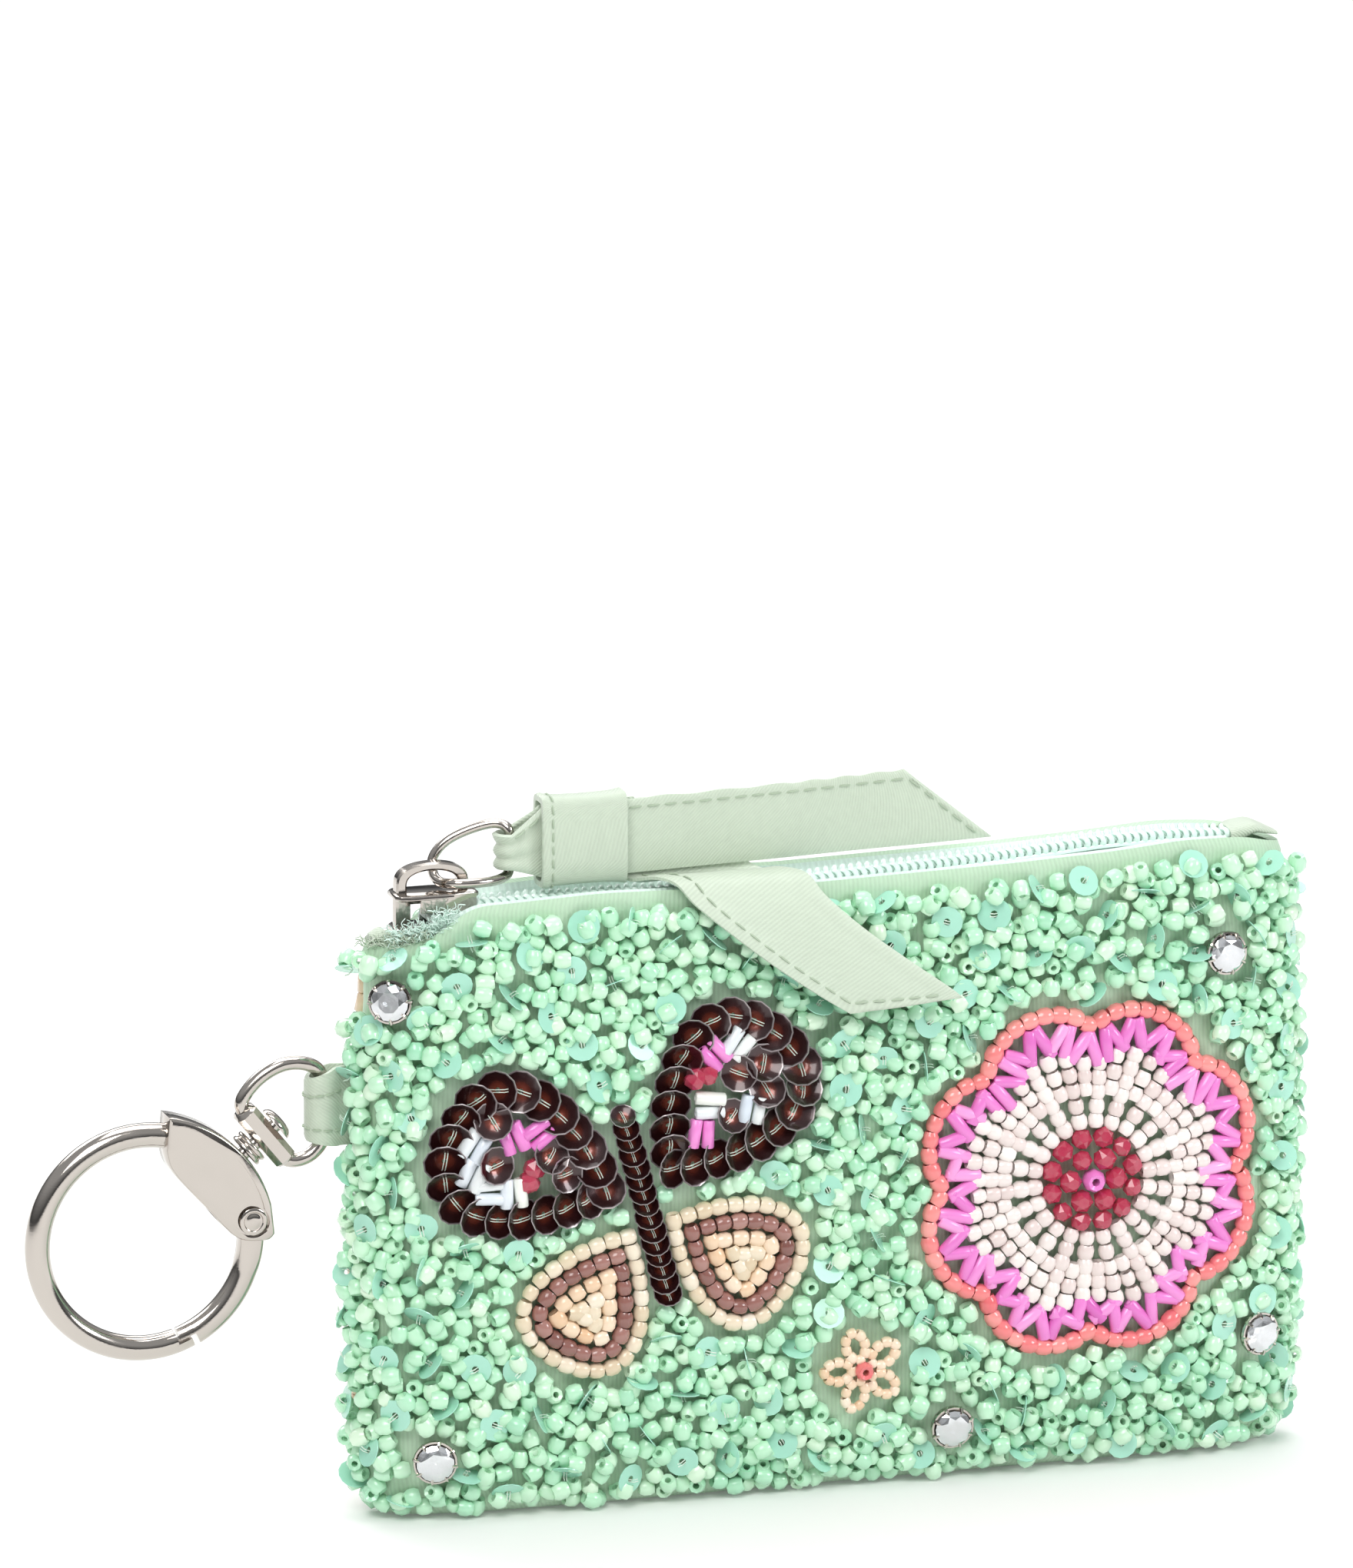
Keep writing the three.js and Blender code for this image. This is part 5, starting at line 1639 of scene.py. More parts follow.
@dataclass
class Zip:
    """The coil zip in the mouth: two tapes, two coils, a slider, and satin stops at both ends."""

    form: PouchForm
    sewing: Sewing
    gap: float = 0.3
    tape: float = 0.7
    turn_down: float = 5.0
    coil_width: float = 2.0
    coil_height: float = 1.5
    pitch: float = 1.04
    slider_place: float = -48.8
    slider_length: float = 10.2
    slider_width: float = 5.4
    plate: float = 0.7
    right: float = 50.1

    def __post_init__(self) -> None:
        """Works out the slider's heights from the coil's."""
        self.slider_left = self.slider_place - self.slider_length / 2
        self.slider_right = self.slider_place + self.slider_length / 2
        self.slider_coil = 75 * 0.979
        self.slider_top = self.slider_coil + self.coil_height + self.gap + self.plate
        self.slider_bottom = self.slider_coil - 3 * self.gap - self.tape - self.plate

    def tapes(self) -> None:
        """The two woven tapes, from the coil over to the rim and down inside it."""
        x = np.arange(self.slider_left + 4.2, self.right + 0.01, 0.9)
        for side in Side:
            edge = self.form.mouth_depth(x) - self.gap
            turn = np.minimum(self.coil_width + 2 * self.gap, edge - self.tape - 0.1)
            rim, top = self.form.rim(x) - self.gap + 0.2, self.form.coil(x) - self.gap
            t = self.tape
            lines = [
                (edge, rim - self.turn_down), (edge - t, rim - self.turn_down), (edge - t, rim - 1.4 * t),
                (edge - 1.5 * t, rim - 0.95 * t), (turn, top - t), (0.15 + 0 * x, top - t), (0.15 + 0 * x, top),
                (turn, top), (0.45 * turn + 0.55 * edge, 0.4 * top + 0.6 * rim + 0.12), (edge - 0.5, rim + 0.02),
                (edge - 0.15, rim - 0.12), (edge, rim - 0.5),
            ]
            rings = [
                np.array([[x[at], side.value * y[at], z[at]] for y, z in lines]) for at in range(len(x))
            ]
            shape = loft(rings)
            across = [0, 0.7, 4.5, 5, 7, 9, 9.6, 12, 13.4, 14.6, 15, 15.4]
            shape.weave = np.array([[place, v, 0.0] for place in x for v in across])
            name = f"zip_tape_{side.name.lower()}"
            cloth = make_object(f"{name}_cloth", shape, Look.TAPE.material(), 50)
            hand_over(cloth, Body.POUCH, Slot.TAPE, name)

    def coils(self) -> None:
        """The two coils, loop by loop, each slanting towards the other."""
        loop = catmull([(-0.22, 0.1, 0.42), (-0.16, 0.55, 1.06), (0.02, 1.05, 1.12), (0.16, 1.6, 0.95), (0.2, 1.72, 0.4),
                        (0.1, 1.4, 0.3)], False, 2)
        loop = loop * [1, 1, 1]
        template = sweep(loop, 0.37, 6)
        for side in Side:
            x = np.arange(self.slider_right - 3.2, self.right - 0.2, self.pitch) + (0.5 * self.pitch if side.value > 0 else 0)
            z = self.form.coil(x)
            count = len(x)
            rise = np.stack([np.ones(count), np.zeros(count), np.gradient(z, x)], 1)
            mirror = template.placed(Matrix.Identity(4))
            mirror.points = mirror.points * [1, side.value, 1]
            rng = np.random.default_rng(3)
            aim = unit(np.cross(rise, np.tile([0.0, 1.0, 0.0], (count, 1))))
            places = Places.of(np.stack([x, np.zeros(count) + side.value * 0.12, z], 1), aim, rise, rng, spread=0.02)
            name = f"zip_coil_{side.name.lower()}"
            made = self.sewing.sew(f"{name}_loops", mirror, places, Look.COIL, 1.5, 4)
            hand_over(made, Body.POUCH, Slot.COIL, name)
            # The cord inside the coil and the row of thread that sews it down
            fine = np.arange(self.slider_right - 3.4, self.right, 1.0)
            core = np.stack([fine, np.full(len(fine), side.value * 0.95), self.form.coil(fine) + 0.55], 1)
            seam = np.stack([fine, np.full(len(fine), side.value * 1.98), self.form.coil(fine) + 0.12], 1)
            cords = Shape.joined([sweep(core, 0.42, 6), sweep(seam, 0.26, 6)])
            hand_over(make_object(f"{name}_core", cords, Look.COIL.material()), Body.POUCH, Slot.COIL)

    def slider(self) -> None:
        """The slider: two rounded plates, a post between them, guards at its sides and a strap bail."""
        wide = self.slider_width / 2
        half = self.slider_length / 2
        corners = [
            (-half, -0.62 * wide), (-half + 0.5, -0.9 * wide), (-half + 1.8, -wide), (0.5, -wide), (half - 0.7, -0.84 * wide),
            (half, -0.66 * wide), (half, 0.66 * wide), (half - 0.7, 0.84 * wide), (0.5, wide), (-half + 1.8, wide),
            (-half + 0.5, 0.9 * wide), (-half, 0.62 * wide),
        ]
        outline = np.array(corners) + [self.slider_place, 0]
        turn = Matrix.Rotation(math.pi / 2, 4, "X")
        parts = []
        for low, high in ((self.slider_top - self.plate, self.slider_top), (self.slider_bottom, self.slider_bottom + self.plate)):
            flat = slab(outline, [(-high, 0.28), (-high + 0.08, 0.1), (-high + 0.24, 0), (-low - 0.16, 0), (-low, 0.16)])
            flat.points = np.stack([flat.points[:, 0], flat.points[:, 2], -flat.points[:, 1]], 1)
            parts.append(flat)
        height = self.slider_top - self.slider_bottom
        post = np.array([(-half + 0.35, -0.75), (-half + 0.2, 0), (-half + 0.35, 0.75), (-half + 2.2, 0.5), (-half + 2.2, -0.5)])
        post = post + [self.slider_place, 0]
        block = slab(post, [(-self.slider_top + 0.2, 0), (-self.slider_bottom - 0.2, 0)])
        block.points = np.stack([block.points[:, 0], block.points[:, 2], -block.points[:, 1]], 1)
        parts.append(block)
        floor = self.slider_coil + self.gap
        for side in (-1, 1):
            guard = np.array([
                (self.slider_place - 2.2, side * 2.32), (self.slider_place - 2.2, side * (wide - 0.05)),
                (self.slider_place + 0.5, side * (wide - 0.05)), (self.slider_place + half - 0.7, side * (0.84 * wide - 0.05) + side * 0.14),
                (self.slider_place + half - 0.4, side * 2.31),
            ])
            wall = slab(guard, [(-self.slider_top + 0.15, 0), (-floor - 0.12, 0), (-floor, 0.03)])
            wall.points = np.stack([wall.points[:, 0], wall.points[:, 2], -wall.points[:, 1]], 1)
            parts.append(wall)
        parts.append(self.bail())
        made = make_object("slider_body", Shape.joined(parts), Look.NICKEL.material(), 32)
        LOG.debug("slider %.1f high, turned by %s", height, turn)
        hand_over(made, Body.POUCH, Slot.NICKEL, "zip_slider")

    def bail(self) -> Shape:
        """The strap that holds the pull wire: an arch with rounded edges."""
        left, right, high = self.slider_left + 0.4, self.slider_right - 0.9, 3.5
        middle, half = (left + right) / 2, (right - left) / 2
        angle = np.radians(np.linspace(180, 0, 29))
        rings = []
        for at, a in enumerate(angle):
            outer = np.array([middle + math.cos(a) * half, self.slider_top + math.sqrt(max(math.sin(a), 0)) * high])
            thick = 1.3 * (1 - 0.25 * math.sin(a))
            inner = np.array([
                middle + math.cos(a) * (half - thick), self.slider_top + math.sqrt(max(math.sin(a), 0)) * (high - thick)
            ])
            if at in (0, len(angle) - 1):
                outer[1] = inner[1] = self.slider_top - 0.35
            way = (outer - inner) / np.linalg.norm(outer - inner)
            w, e = 0.9, 0.24
            ring = []
            for base, sign in ((inner, 1), (outer, -1)):
                corner = base + sign * e * way
                ys = (-w + e, -w) if sign < 0 else (-w, -w + e)
                pair = [(base, -w + e), (corner, -w)]
                mirror = [(corner, w), (base, w - e)]
                ring.append((pair, mirror, ys))
            (in_low, in_high, _), (out_low, out_high, _) = ring
            loop = [in_low[0], in_low[1], out_low[1], out_low[0], out_high[1], out_high[0], in_high[0], in_high[1]]
            rings.append(np.array([[p[0], y, p[1]] for p, y in loop]))
        return loft(rings)

    def stops(self) -> None:
        """The satin folded over the ends of the zip, with loose fibres at the open end."""
        start, end = self.right + 0.3, 56.7
        stations = []
        for x in np.linspace(start, end, 12):
            share = (x - start) / (end - start)
            low = float(np.interp(share, [0, 0.5, 1], [self.form.coil(start) - 1, self.form.rim(53.5) + 0.3, self.form.rim(end) + 0.3]))
            crown = float(np.interp(share, [0, 0.12, 0.4, 0.75, 1], [0.75, 1.0, 1.0, 0.86, 0.5]))
            high = float(np.interp(share, [0, 0.5, 1], [self.form.coil(start) + 1.8, self.form.rim(53.5) + 1.7, self.form.rim(end) + 1.3]))
            half = float(np.interp(share, [0, 0.5, 1], [2.6, 2.5, 1.4])) * (0.92 + 0.08 * crown)
            angle = np.arange(20) * 2 * np.pi / 20
            up = np.sign(np.sin(angle)) * np.abs(np.sin(angle)) ** 0.75
            aside = np.sign(np.cos(angle)) * np.abs(np.cos(angle)) ** 0.6
            middle, tall = (low + high) / 2, (high - low) / 2 * crown
            stations.append(np.stack([np.full(20, x), half * aside, middle + tall * up], 1))
        shape = loft(stations)
        shape.weave = np.stack([shape.points[:, 0], 1.2 * shape.points[:, 1] + shape.points[:, 2], 0 * shape.points[:, 0]], 1)
        hump = make_object("zip_end_right_satin", shape, Look.SATIN.material(), 60)
        hand_over(hump, Body.POUCH, Slot.SATIN, "zip_end_right")
        self.left_stop()

    def left_stop(self) -> None:
        """The frayed satin and tape end beside and under the slider."""
        start, crest = -56.7, self.slider_left - 1.2
        under = self.slider_bottom - self.gap
        table = [
            (start, float(self.form.rim(start)) + 0.2, float(self.form.rim(start)) + 1.2, 1.2),
            (start + 0.9, float(self.form.rim(start)) + 0.3, float(self.form.rim(start)) + 1.75, 1.5),
            (crest, float(self.form.rim(crest)) + 0.3, float(self.form.rim(crest)) + 1.8, 1.6),
            (self.slider_left - self.gap, under - 1.7, under, 1.5), (self.slider_left + 3.9, under - 1.6, under, 1.6),
        ]
        columns = np.array(table)
        rings = []
        for x in np.linspace(start, table[-1][0], 16):
            low, high, half = (float(np.interp(x, columns[:, 0], columns[:, i])) for i in (1, 2, 3))
            angle = np.arange(18) * 2 * np.pi / 18
            bump = 0.08 * np.sin(5 * angle + 1.7 * x)
            ring = np.stack([
                np.full(18, x) + 0.2 * np.sin(3 * angle), half * np.cos(angle) * (1 + bump),
                (low + high) / 2 + (high - low) / 2 * np.sin(angle) * (1 - np.abs(bump)),
            ], 1)
            rings.append(ring)
        shape = loft(rings)
        shape.weave = np.stack([shape.points[:, 0], shape.points[:, 1], shape.points[:, 2]], 1)
        stub = make_object("zip_end_left_satin", shape, Look.SATIN.material(), 60)
        hand_over(stub, Body.POUCH, Slot.SATIN, "zip_end_left")
        self.fibres()

    def fibres(self) -> None:
        """The frayed threads of the tape in front of the slider and of the satin at the open end."""
        rng = np.random.default_rng(8)
        fibre = sweep(catmull([(0, 0, 0), (0.4, 0.15, 0.9), (0.1, -0.2, 1.8), (0.5, 0.1, 2.5)], False, 3), 0.07, 4)
        for name, look, slot, count, left, right, lift in (
            ("zip_end_fibres", Look.COIL, Slot.TAPE, 260, -54.6, -47.4, 1.6),
            ("satin_end_fibres", Look.SATIN, Slot.SATIN, 300, -56.6, -50.5, 0.1),
        ):
            x = rng.uniform(left, right, count)
            y = -self.form.mouth_depth(x) + rng.uniform(-0.7, 0.9, count)
            z = self.form.rim(x) - 0.3 + lift * rng.random(count)
            aim = np.stack([rng.normal(-0.3, 0.8, count), rng.normal(-0.4, 0.6, count), rng.uniform(0.1, 1.1, count)], 1)
            places = Places.of(np.stack([x, y, z], 1), unit(aim), rng.normal(size=(count, 3)), rng, (0.8, 0.8, 0.6), 0.2)
            hand_over(self.sewing.sew(name, fibre, places, look, 12, 5), Body.POUCH, slot)


# The ribbon


@dataclass
class Cloth:
    """A strip of ribbon as a grid: where it runs, row by row, and how thick it is."""

    middle: Points
    normal: Points
    thickness: Points
    width: Points
    length: Points

    def shape(self) -> Shape:
        """The closed cloth, with its weave coordinates in millimetres."""
        rows, columns, _ = self.middle.shape
        half = self.thickness[..., None] / 2
        top, bottom = self.middle + half * self.normal, self.middle - half * self.normal
        rings = [np.vstack([top[row], bottom[row][::-1]]) for row in range(rows)]
        shape = loft(rings)
        weave = np.stack([self.length, self.width, 0 * self.width], 2)
        shape.weave = np.vstack([np.vstack([weave[row], weave[row][::-1]]) for row in range(rows)])
        return shape

    def at(self, row: float, column: float, lift: float) -> tuple[Points, Points]:
        """A point over the cloth and the direction that the cloth faces there."""
        rows, columns, _ = self.middle.shape
        r, c = min(max(row, 0), rows - 1.001), min(max(column, 0), columns - 1.001)
        i, j, u, v = int(r), int(c), r % 1, c % 1
        read = lambda grid: (1 - u) * ((1 - v) * grid[i, j] + v * grid[i, j + 1]) + u * (
            (1 - v) * grid[i + 1, j] + v * grid[i + 1, j + 1])
        normal = unit(read(self.normal))
        return read(self.middle) + normal * (float(read(self.thickness)) / 2 + lift), normal


def grid_normals(middle: Points) -> Points:
    """The directions that a grid faces."""
    return unit(np.cross(np.gradient(middle, axis=0), np.gradient(middle, axis=1)))


@dataclass
class RibbonPull:
    """The satin ribbon through the pull wire, with a straight tail, a draped tail and a keeper round both."""

    form: PouchForm
    sewing: Sewing
    width: float = 9.0
    thickness: float = 0.75
    bottom: float = 76.4
    fold: float = -41.4
    joined: float = -36.5
    keeper_end: float = -25.4
    tail_end: float = 20.6
    rise: float = 1.2
    cut: float = 11.1
    stitch_pitch: float = 2.2
    # Out and up as shares of the half depth and the height, with the two edges as shares from the keeper's end
    drape: tuple[tuple[float, float, float, float], ...] = (
        (-0.072, 1.135, 0.006, 0.093), (-0.072, 1.035, 0.006, 0.238), (0.03, 1.008, 0.006, 0.288),
        (0.48, 1.019, 0.048, 0.323), (0.76, 1.016, 0.073, 0.347), (0.97, 0.987, 0.103, 0.373),
        (1.16, 0.935, 0.178, 0.443), (1.3, 0.88, 0.265, 0.533), (1.4, 0.828, 0.358, 0.623),
    )
    tip: tuple[float, float, float, float, float] = (1.42, 0.804, 0.816, 0.405, 0.639)

    def legs(self) -> Cloth:
        """The straight tail, the gathered fold round the wire and the leg behind."""
        centre = self.fold + 1.9
        angle = np.radians(np.linspace(-90, -270, 13))
        path = [(x, -0.65) for x in np.linspace(self.tail_end, self.joined + 0.4, 96)]
        path += [(centre + 1.4 * math.cos(a), 1.4 * math.sin(a)) for a in angle]
        path += [(x, 0.65) for x in np.linspace(self.joined + 0.4, self.keeper_end + 1.6, 14)]
        path_points = np.array(path)
        length = np.concatenate([[0], np.linalg.norm(np.diff(path_points, axis=0), axis=1).cumsum()])
        share = np.linspace(0, 1, 17)
        middle, thick = np.zeros((len(path), 17, 3)), np.zeros((len(path), 17))
        for row, (x, y) in enumerate(path):
            gather = float(np.clip((self.joined + 1.2 - x) / (self.joined + 1.2 - centre), 0, 1)) ** 0.8
            low = self.bottom + self.rise * np.clip((x - self.keeper_end) / 46, 0, 1)
            high = low + self.width
            low, high = low + (78.0 - low) * gather, high + (82.2 - high) * gather
            z = low + (high - low) * share
            if y < 0 and row < 60:
                slant = np.clip(share * self.cut, 0, self.cut)
                xs = x - slant * max(1 - (self.tail_end - x) / 26, 0)
            else:
                xs = np.full(17, x)
            ripple = 0.16 * np.sin(0.33 * xs + 0.5) * np.sin(np.pi * share + 0.3) * (1 - gather)
            ripple = ripple * np.clip((xs - self.keeper_end) / 6, 0, 1)
            pleat = 0.42 * gather * np.sin(share * 5 * np.pi) * np.clip((self.joined + 1 - x) / 3, 0, 1)
            ys = np.full(17, y) + np.sign(y) * (np.abs(ripple) * 0 + pleat * 0.6) + ripple
            if centre - 1.5 < x < centre + 0.01:
                outward = np.array([x - centre, y]) / max(math.hypot(x - centre, y), 1e-6)
                xs, ys = xs + outward[0] * pleat * 0.5, np.full(17, y) + outward[1] * pleat * 0.5
            edge = 0.1 * np.sin(0.9 * x + 1) * (share > 0.98) * (1 - gather)
            middle[row] = np.stack([xs, ys, z + edge], 1)
            hem = np.clip((share - 0.88) / 0.05, 0, 1) + np.clip((0.05 - share) / 0.05, 0, 1) * 0.6
            tail_hem = 1.0 if row < 2 else 0.0
            thick[row] = self.thickness * (0.62 + 0.38 * np.maximum(hem, tail_hem))
            thick[row, [0, -1]] *= 0.45
        thick[0] *= 0.45
        grid = Cloth(middle, grid_normals(middle), thick, np.tile(share * self.width, (len(path), 1)),
                     np.tile(length[:, None], (1, 17)))
        return grid

    def draped(self) -> Cloth:
        """The tail that hangs over the rim and down the front."""
        table = [(-out * 9, up * 75, up * 75, a, b) for out, up, a, b in self.drape]
        out, low, high, a, b = self.tip
        table.append((-out * 9, low * 75, high * 75, a, b))
        rows = catmull(np.array(table), False, 5)
        share = np.linspace(0, 1, 15)
        count = len(rows)
        middle, thick = np.zeros((count, 15, 3)), np.zeros((count, 15))
        for row, (y, low, high, a, b) in enumerate(rows):
            x0, x1 = self.keeper_end + 60 * a, self.keeper_end + 60 * b
            down = np.clip((row - 8) / (count - 9), 0, 1)
            roll = 0.35 * np.sin(share * 2 * np.pi + 0.11 * row) * down
            curl = -0.5 * (1 - share) ** 4 * down - 0.35 * share**5 * down
            middle[row] = np.stack([x0 + (x1 - x0) * share, y - roll * 0.7 - curl * -0.6, low + (high - low) * share], 1)
            hem = np.maximum(np.clip((share - 0.88) / 0.05, 0, 1), np.clip((0.12 - share) / 0.05, 0, 1))
            tip_hem = 1.0 if row > count - 4 else 0.0
            thick[row] = self.thickness * (0.62 + 0.38 * np.maximum(hem, tip_hem))
            thick[row, [0, -1]] *= 0.45
        thick[-1] *= 0.45
        centre = middle[:, 7]
        length = np.concatenate([[0], np.linalg.norm(np.diff(centre, axis=0), axis=1).cumsum()])
        return Cloth(middle, grid_normals(middle), thick, np.tile(share * self.width, (count, 1)),
                     np.tile(length[:, None] + 92, (1, 15)))

    def seam(self, cloth: Cloth, route: Points, side: float) -> Places:
        """Stitches along a route over a cloth.

        Args:
            cloth: the cloth.
            route: rows and columns of its grid.
            side: 1 for the face that its normals leave, -1 for the other.

        Returns:
            The places of the stitches.
        """
        lift = 0.05 if side > 0 else -0.05
        found = []
        for row, column in route:
            place, normal = cloth.at(row, column, 0.0)
            if side < 0:
                low, _ = cloth.at(row, column, 0.0)
                rows = cloth.at(row, column, 0.0)[0]
                half = np.linalg.norm(rows - low)
                depth = self.thickness * 0.66
                place = place - normal * (depth + half)
            found.append(np.concatenate([place + normal * lift, normal * side]))
        line = np.array(found)
        spots, ways = spaced(line, self.stitch_pitch)
        ways = unit(ways[:, :3])
        return Places.of(spots[:, :3], ways, unit(spots[:, 3:]), np.random.default_rng(2))

    def keeper(self) -> bpy.types.Object:
        """The band round the ribbon, its left edge rolled and its right edge a little flared."""
        count, xs = 56, np.array([-35.8, -35.74, -35.55, -35.2, -34.9, -34.5, -33, -31, -29, -27, -26.2, -25.7, -25.45, -25.4])
        angle = np.arange(count) * 2 * np.pi / count
        power = 2 / 5.5
        aside = np.sign(np.cos(angle)) * np.abs(np.cos(angle)) ** power
        up = np.sign(np.sin(angle)) * np.abs(np.sin(angle)) ** power
        outer, inner = [], []
        for x in xs:
            roll = 0.22 * math.exp(-(((x + 35.3) / 0.42) ** 2))
            flare = 0.16 * math.exp(-(((x + 25.5) / 0.6) ** 2))
            belly = -0.12 * math.sin((x + 35) / 9 * math.pi) if -35 < x < -26 else 0
            wave = 0.06 * np.sin(3 * angle + 0.8 * x)
            for pile, step in ((outer, 0.0), (inner, -0.62)):
                grow = roll + flare + belly + step if step == 0 else step - belly * 0.4
                half_y = min(2.08 + grow, 2.3) + wave * 0.5
                half_z = min(5.42 + grow, 5.64)
                pile.append(np.stack([np.full(count, x), half_y * aside, 80.9 + half_z * up], 1))
        rings = [*outer, *inner[::-1]]
        shape = loft(rings, wrap=True)
        around = angle * 5.4
        along = [x + 36 for x in xs]
        shape.weave = np.array([[a, b, 0.0] for b in [*along, *along[::-1]] for a in around])
        made = make_object("keeper_band", shape, Look.SATIN.material(), 60)
        line = np.stack([np.full(count, -34.55), 2.08 * aside, 80.9 + 5.42 * up], 1)
        spots, ways = spaced(line, 1.6, True)
        facing = unit(np.stack([0 * spots[:, 0], spots[:, 1] * 4, (spots[:, 2] - 80.9) * 0.6], 1))
        places = Places.of(spots + facing * 0.02, ways, facing, np.random.default_rng(2))
        threads = self.sewing.sew("keeper_stitches", stitch(1.1), places, Look.STITCH, 3, 2)
        hand_over(threads, Body.POUCH, Slot.SATIN)
        return hand_over(made, Body.POUCH, Slot.SATIN, "ribbon_keeper")

    def build(self) -> None:
        """Builds the ribbon, its hems' stitches and its keeper."""
        legs, draped = self.legs(), self.draped()
        shape = Shape.joined([legs.shape(), draped.shape()])
        made = make_object("pull_ribbon_satin", shape, Look.SATIN.material(), 60)
        rows = np.linspace(3, 96, 60)
        top = self.seam(legs, np.stack([rows, np.full(60, 14.2)], 1), self.front_of(legs))
        end = self.seam(legs, np.stack([np.full(20, 2.2), np.linspace(0.8, 14.2, 20)], 1), self.front_of(legs))
        count = len(draped.middle)
        left = self.seam(draped, np.stack([np.linspace(9, count - 4, 40), np.full(40, 1.8)], 1), self.front_of(draped))
        tip = self.seam(draped, np.stack([np.full(16, count - 4.5), np.linspace(2, 12, 16)], 1), self.front_of(draped))
        places = Places.joined([top, end, left, tip])
        threads = self.sewing.sew("ribbon_stitches", stitch(1.5), places, Look.STITCH, 3, 2)
        hand_over(threads, Body.POUCH, Slot.SATIN)
        hand_over(made, Body.POUCH, Slot.SATIN, "pull_ribbon")
        self.keeper()

    def front_of(self, cloth: Cloth) -> float:
        """Which face of a cloth looks to the front or up: 1 for the one that its normals leave."""
        middle = cloth.normal[len(cloth.normal) // 2, cloth.normal.shape[1] // 2]
        return 1.0 if middle[1] < 0 else -1.0


def stitch(length: float) -> Shape:
    """A stitch about Z that dips into the cloth at its ends, X away from the cloth."""
    half = length / 2
    path = np.array([(-0.14, 0, -half), (0.06, 0, -0.7 * half), (0.1, 0, 0), (0.06, 0, 0.7 * half), (-0.14, 0, half)])
    return sweep(path, 0.13, 5)


@dataclass
class SideTab:
    """The ribbon loop in the side seam that carries the swivel's eye."""

    sewing: Sewing
    seam: float = 2.5
    height: float = 50.0
    width: float = 9.6
    fold: float = -64.1
    inner: float = 1.15
    thickness: float = 1.0

    def build(self) -> None:
        """Builds the loop and its two seams of stitches."""
        outer = self.inner + self.thickness
        mid = (outer + self.inner) / 2
        side = [(-57.4, 0.62), (-58.6, 0.63), (-59.8, 0.66), (-60.6, 1.1), (-61.4, 1.6), (-61.95, mid)]
        angle = np.radians(np.linspace(90, 270, 15))
        path = [(x, y) for x, y in side]
        path += [(self.fold + outer + mid * math.cos(a), mid * math.sin(a)) for a in angle[1:-1]]
        path += [(x, -y) for x, y in side[::-1]]
        points = np.array(path)
        length = np.concatenate([[0], np.linalg.norm(np.diff(points, axis=0), axis=1).cumsum()])
        share = np.linspace(0, 1, 15)
        middle, thick = np.zeros((len(path), 15, 3)), np.zeros((len(path), 15))
        for row, (x, y) in enumerate(path):
            reach = np.clip((-60.5 - x) / 3.6, 0, 1)
            low = self.height - self.width / 2 + 0.8 * reach
            high = self.height + self.width / 2 - 1.4 * reach
            z = low + (high - low) * share
            middle[row] = np.stack([np.full(15, x), np.full(15, y + self.seam), z], 1)
            thick[row] = 0.86 + 0.1 * ((share < 0.04) | (share > 0.96))
            thick[row, [0, -1]] *= 0.5
        thick[[0, -1]] *= 0.6
        cloth = Cloth(middle, grid_normals(middle), thick, np.tile(share * self.width, (len(path), 1)),
                      np.tile(length[:, None], (1, 15)))
        made = make_object("side_tab_ribbon", cloth.shape(), Look.SATIN.material(), 60)
        lines = []
        for z in (0.27, 0.74):
            at = np.array([middle[row, int(z * 14)] for row in range(2, len(path) - 2)])
            normals = np.array([cloth.normal[row, int(z * 14)] for row in range(2, len(path) - 2)])
            sign = np.sign(np.dot(normals[len(at) // 2], [-1, 0, 0]))
            both = np.hstack([at + normals * sign * 0.47, normals * sign])
            spots, ways = spaced(both, 1.5)
            lines.append(Places.of(spots[:, :3], unit(ways[:, :3]), unit(spots[:, 3:]), np.random.default_rng(4)))
        threads = self.sewing.sew("side_tab_stitches", stitch(1.05), Places.joined(lines), Look.STITCH, 3, 2)
        hand_over(threads, Body.POUCH, Slot.SATIN)
        hand_over(made, Body.POUCH, Slot.SATIN, "side_tab")


# The metal


@dataclass
class PullWire:
    """The wire through the slider's bail and the fold of the ribbon."""

    slider: Zip
    diameter: float = 1.2
    route: tuple[tuple[float, float, float], ...] = (
        (0.1, 0, 0.33), (0.5, -0.6, 0.38), (1.3, -0.62, 0.36), (2.1, -0.3, 0.36), (2.49, 0, 0.5), (2.49, 0, 1.2),
        (2.49, 0, 2), (2.2, 0.25, 2.16), (1.3, 0.55, 1.95), (0.4, 0.66, 1.5), (0, 0.66, 0.95), (0, 0.5, 0.5),
    )

    def build(self) -> None:
        """Bends the wire."""
        start = np.array([self.slider.slider_place + 0.6, 0, self.slider.slider_top - 0.3])
        path = catmull(start + 3.5 * np.array(self.route), True, 8)
        shape = sweep(path, self.diameter / 2, 14, True)
        hand_over(make_object("pull_wire_loop", shape, Look.NICKEL.material()), Body.POUCH, Slot.NICKEL, "pull_wire")


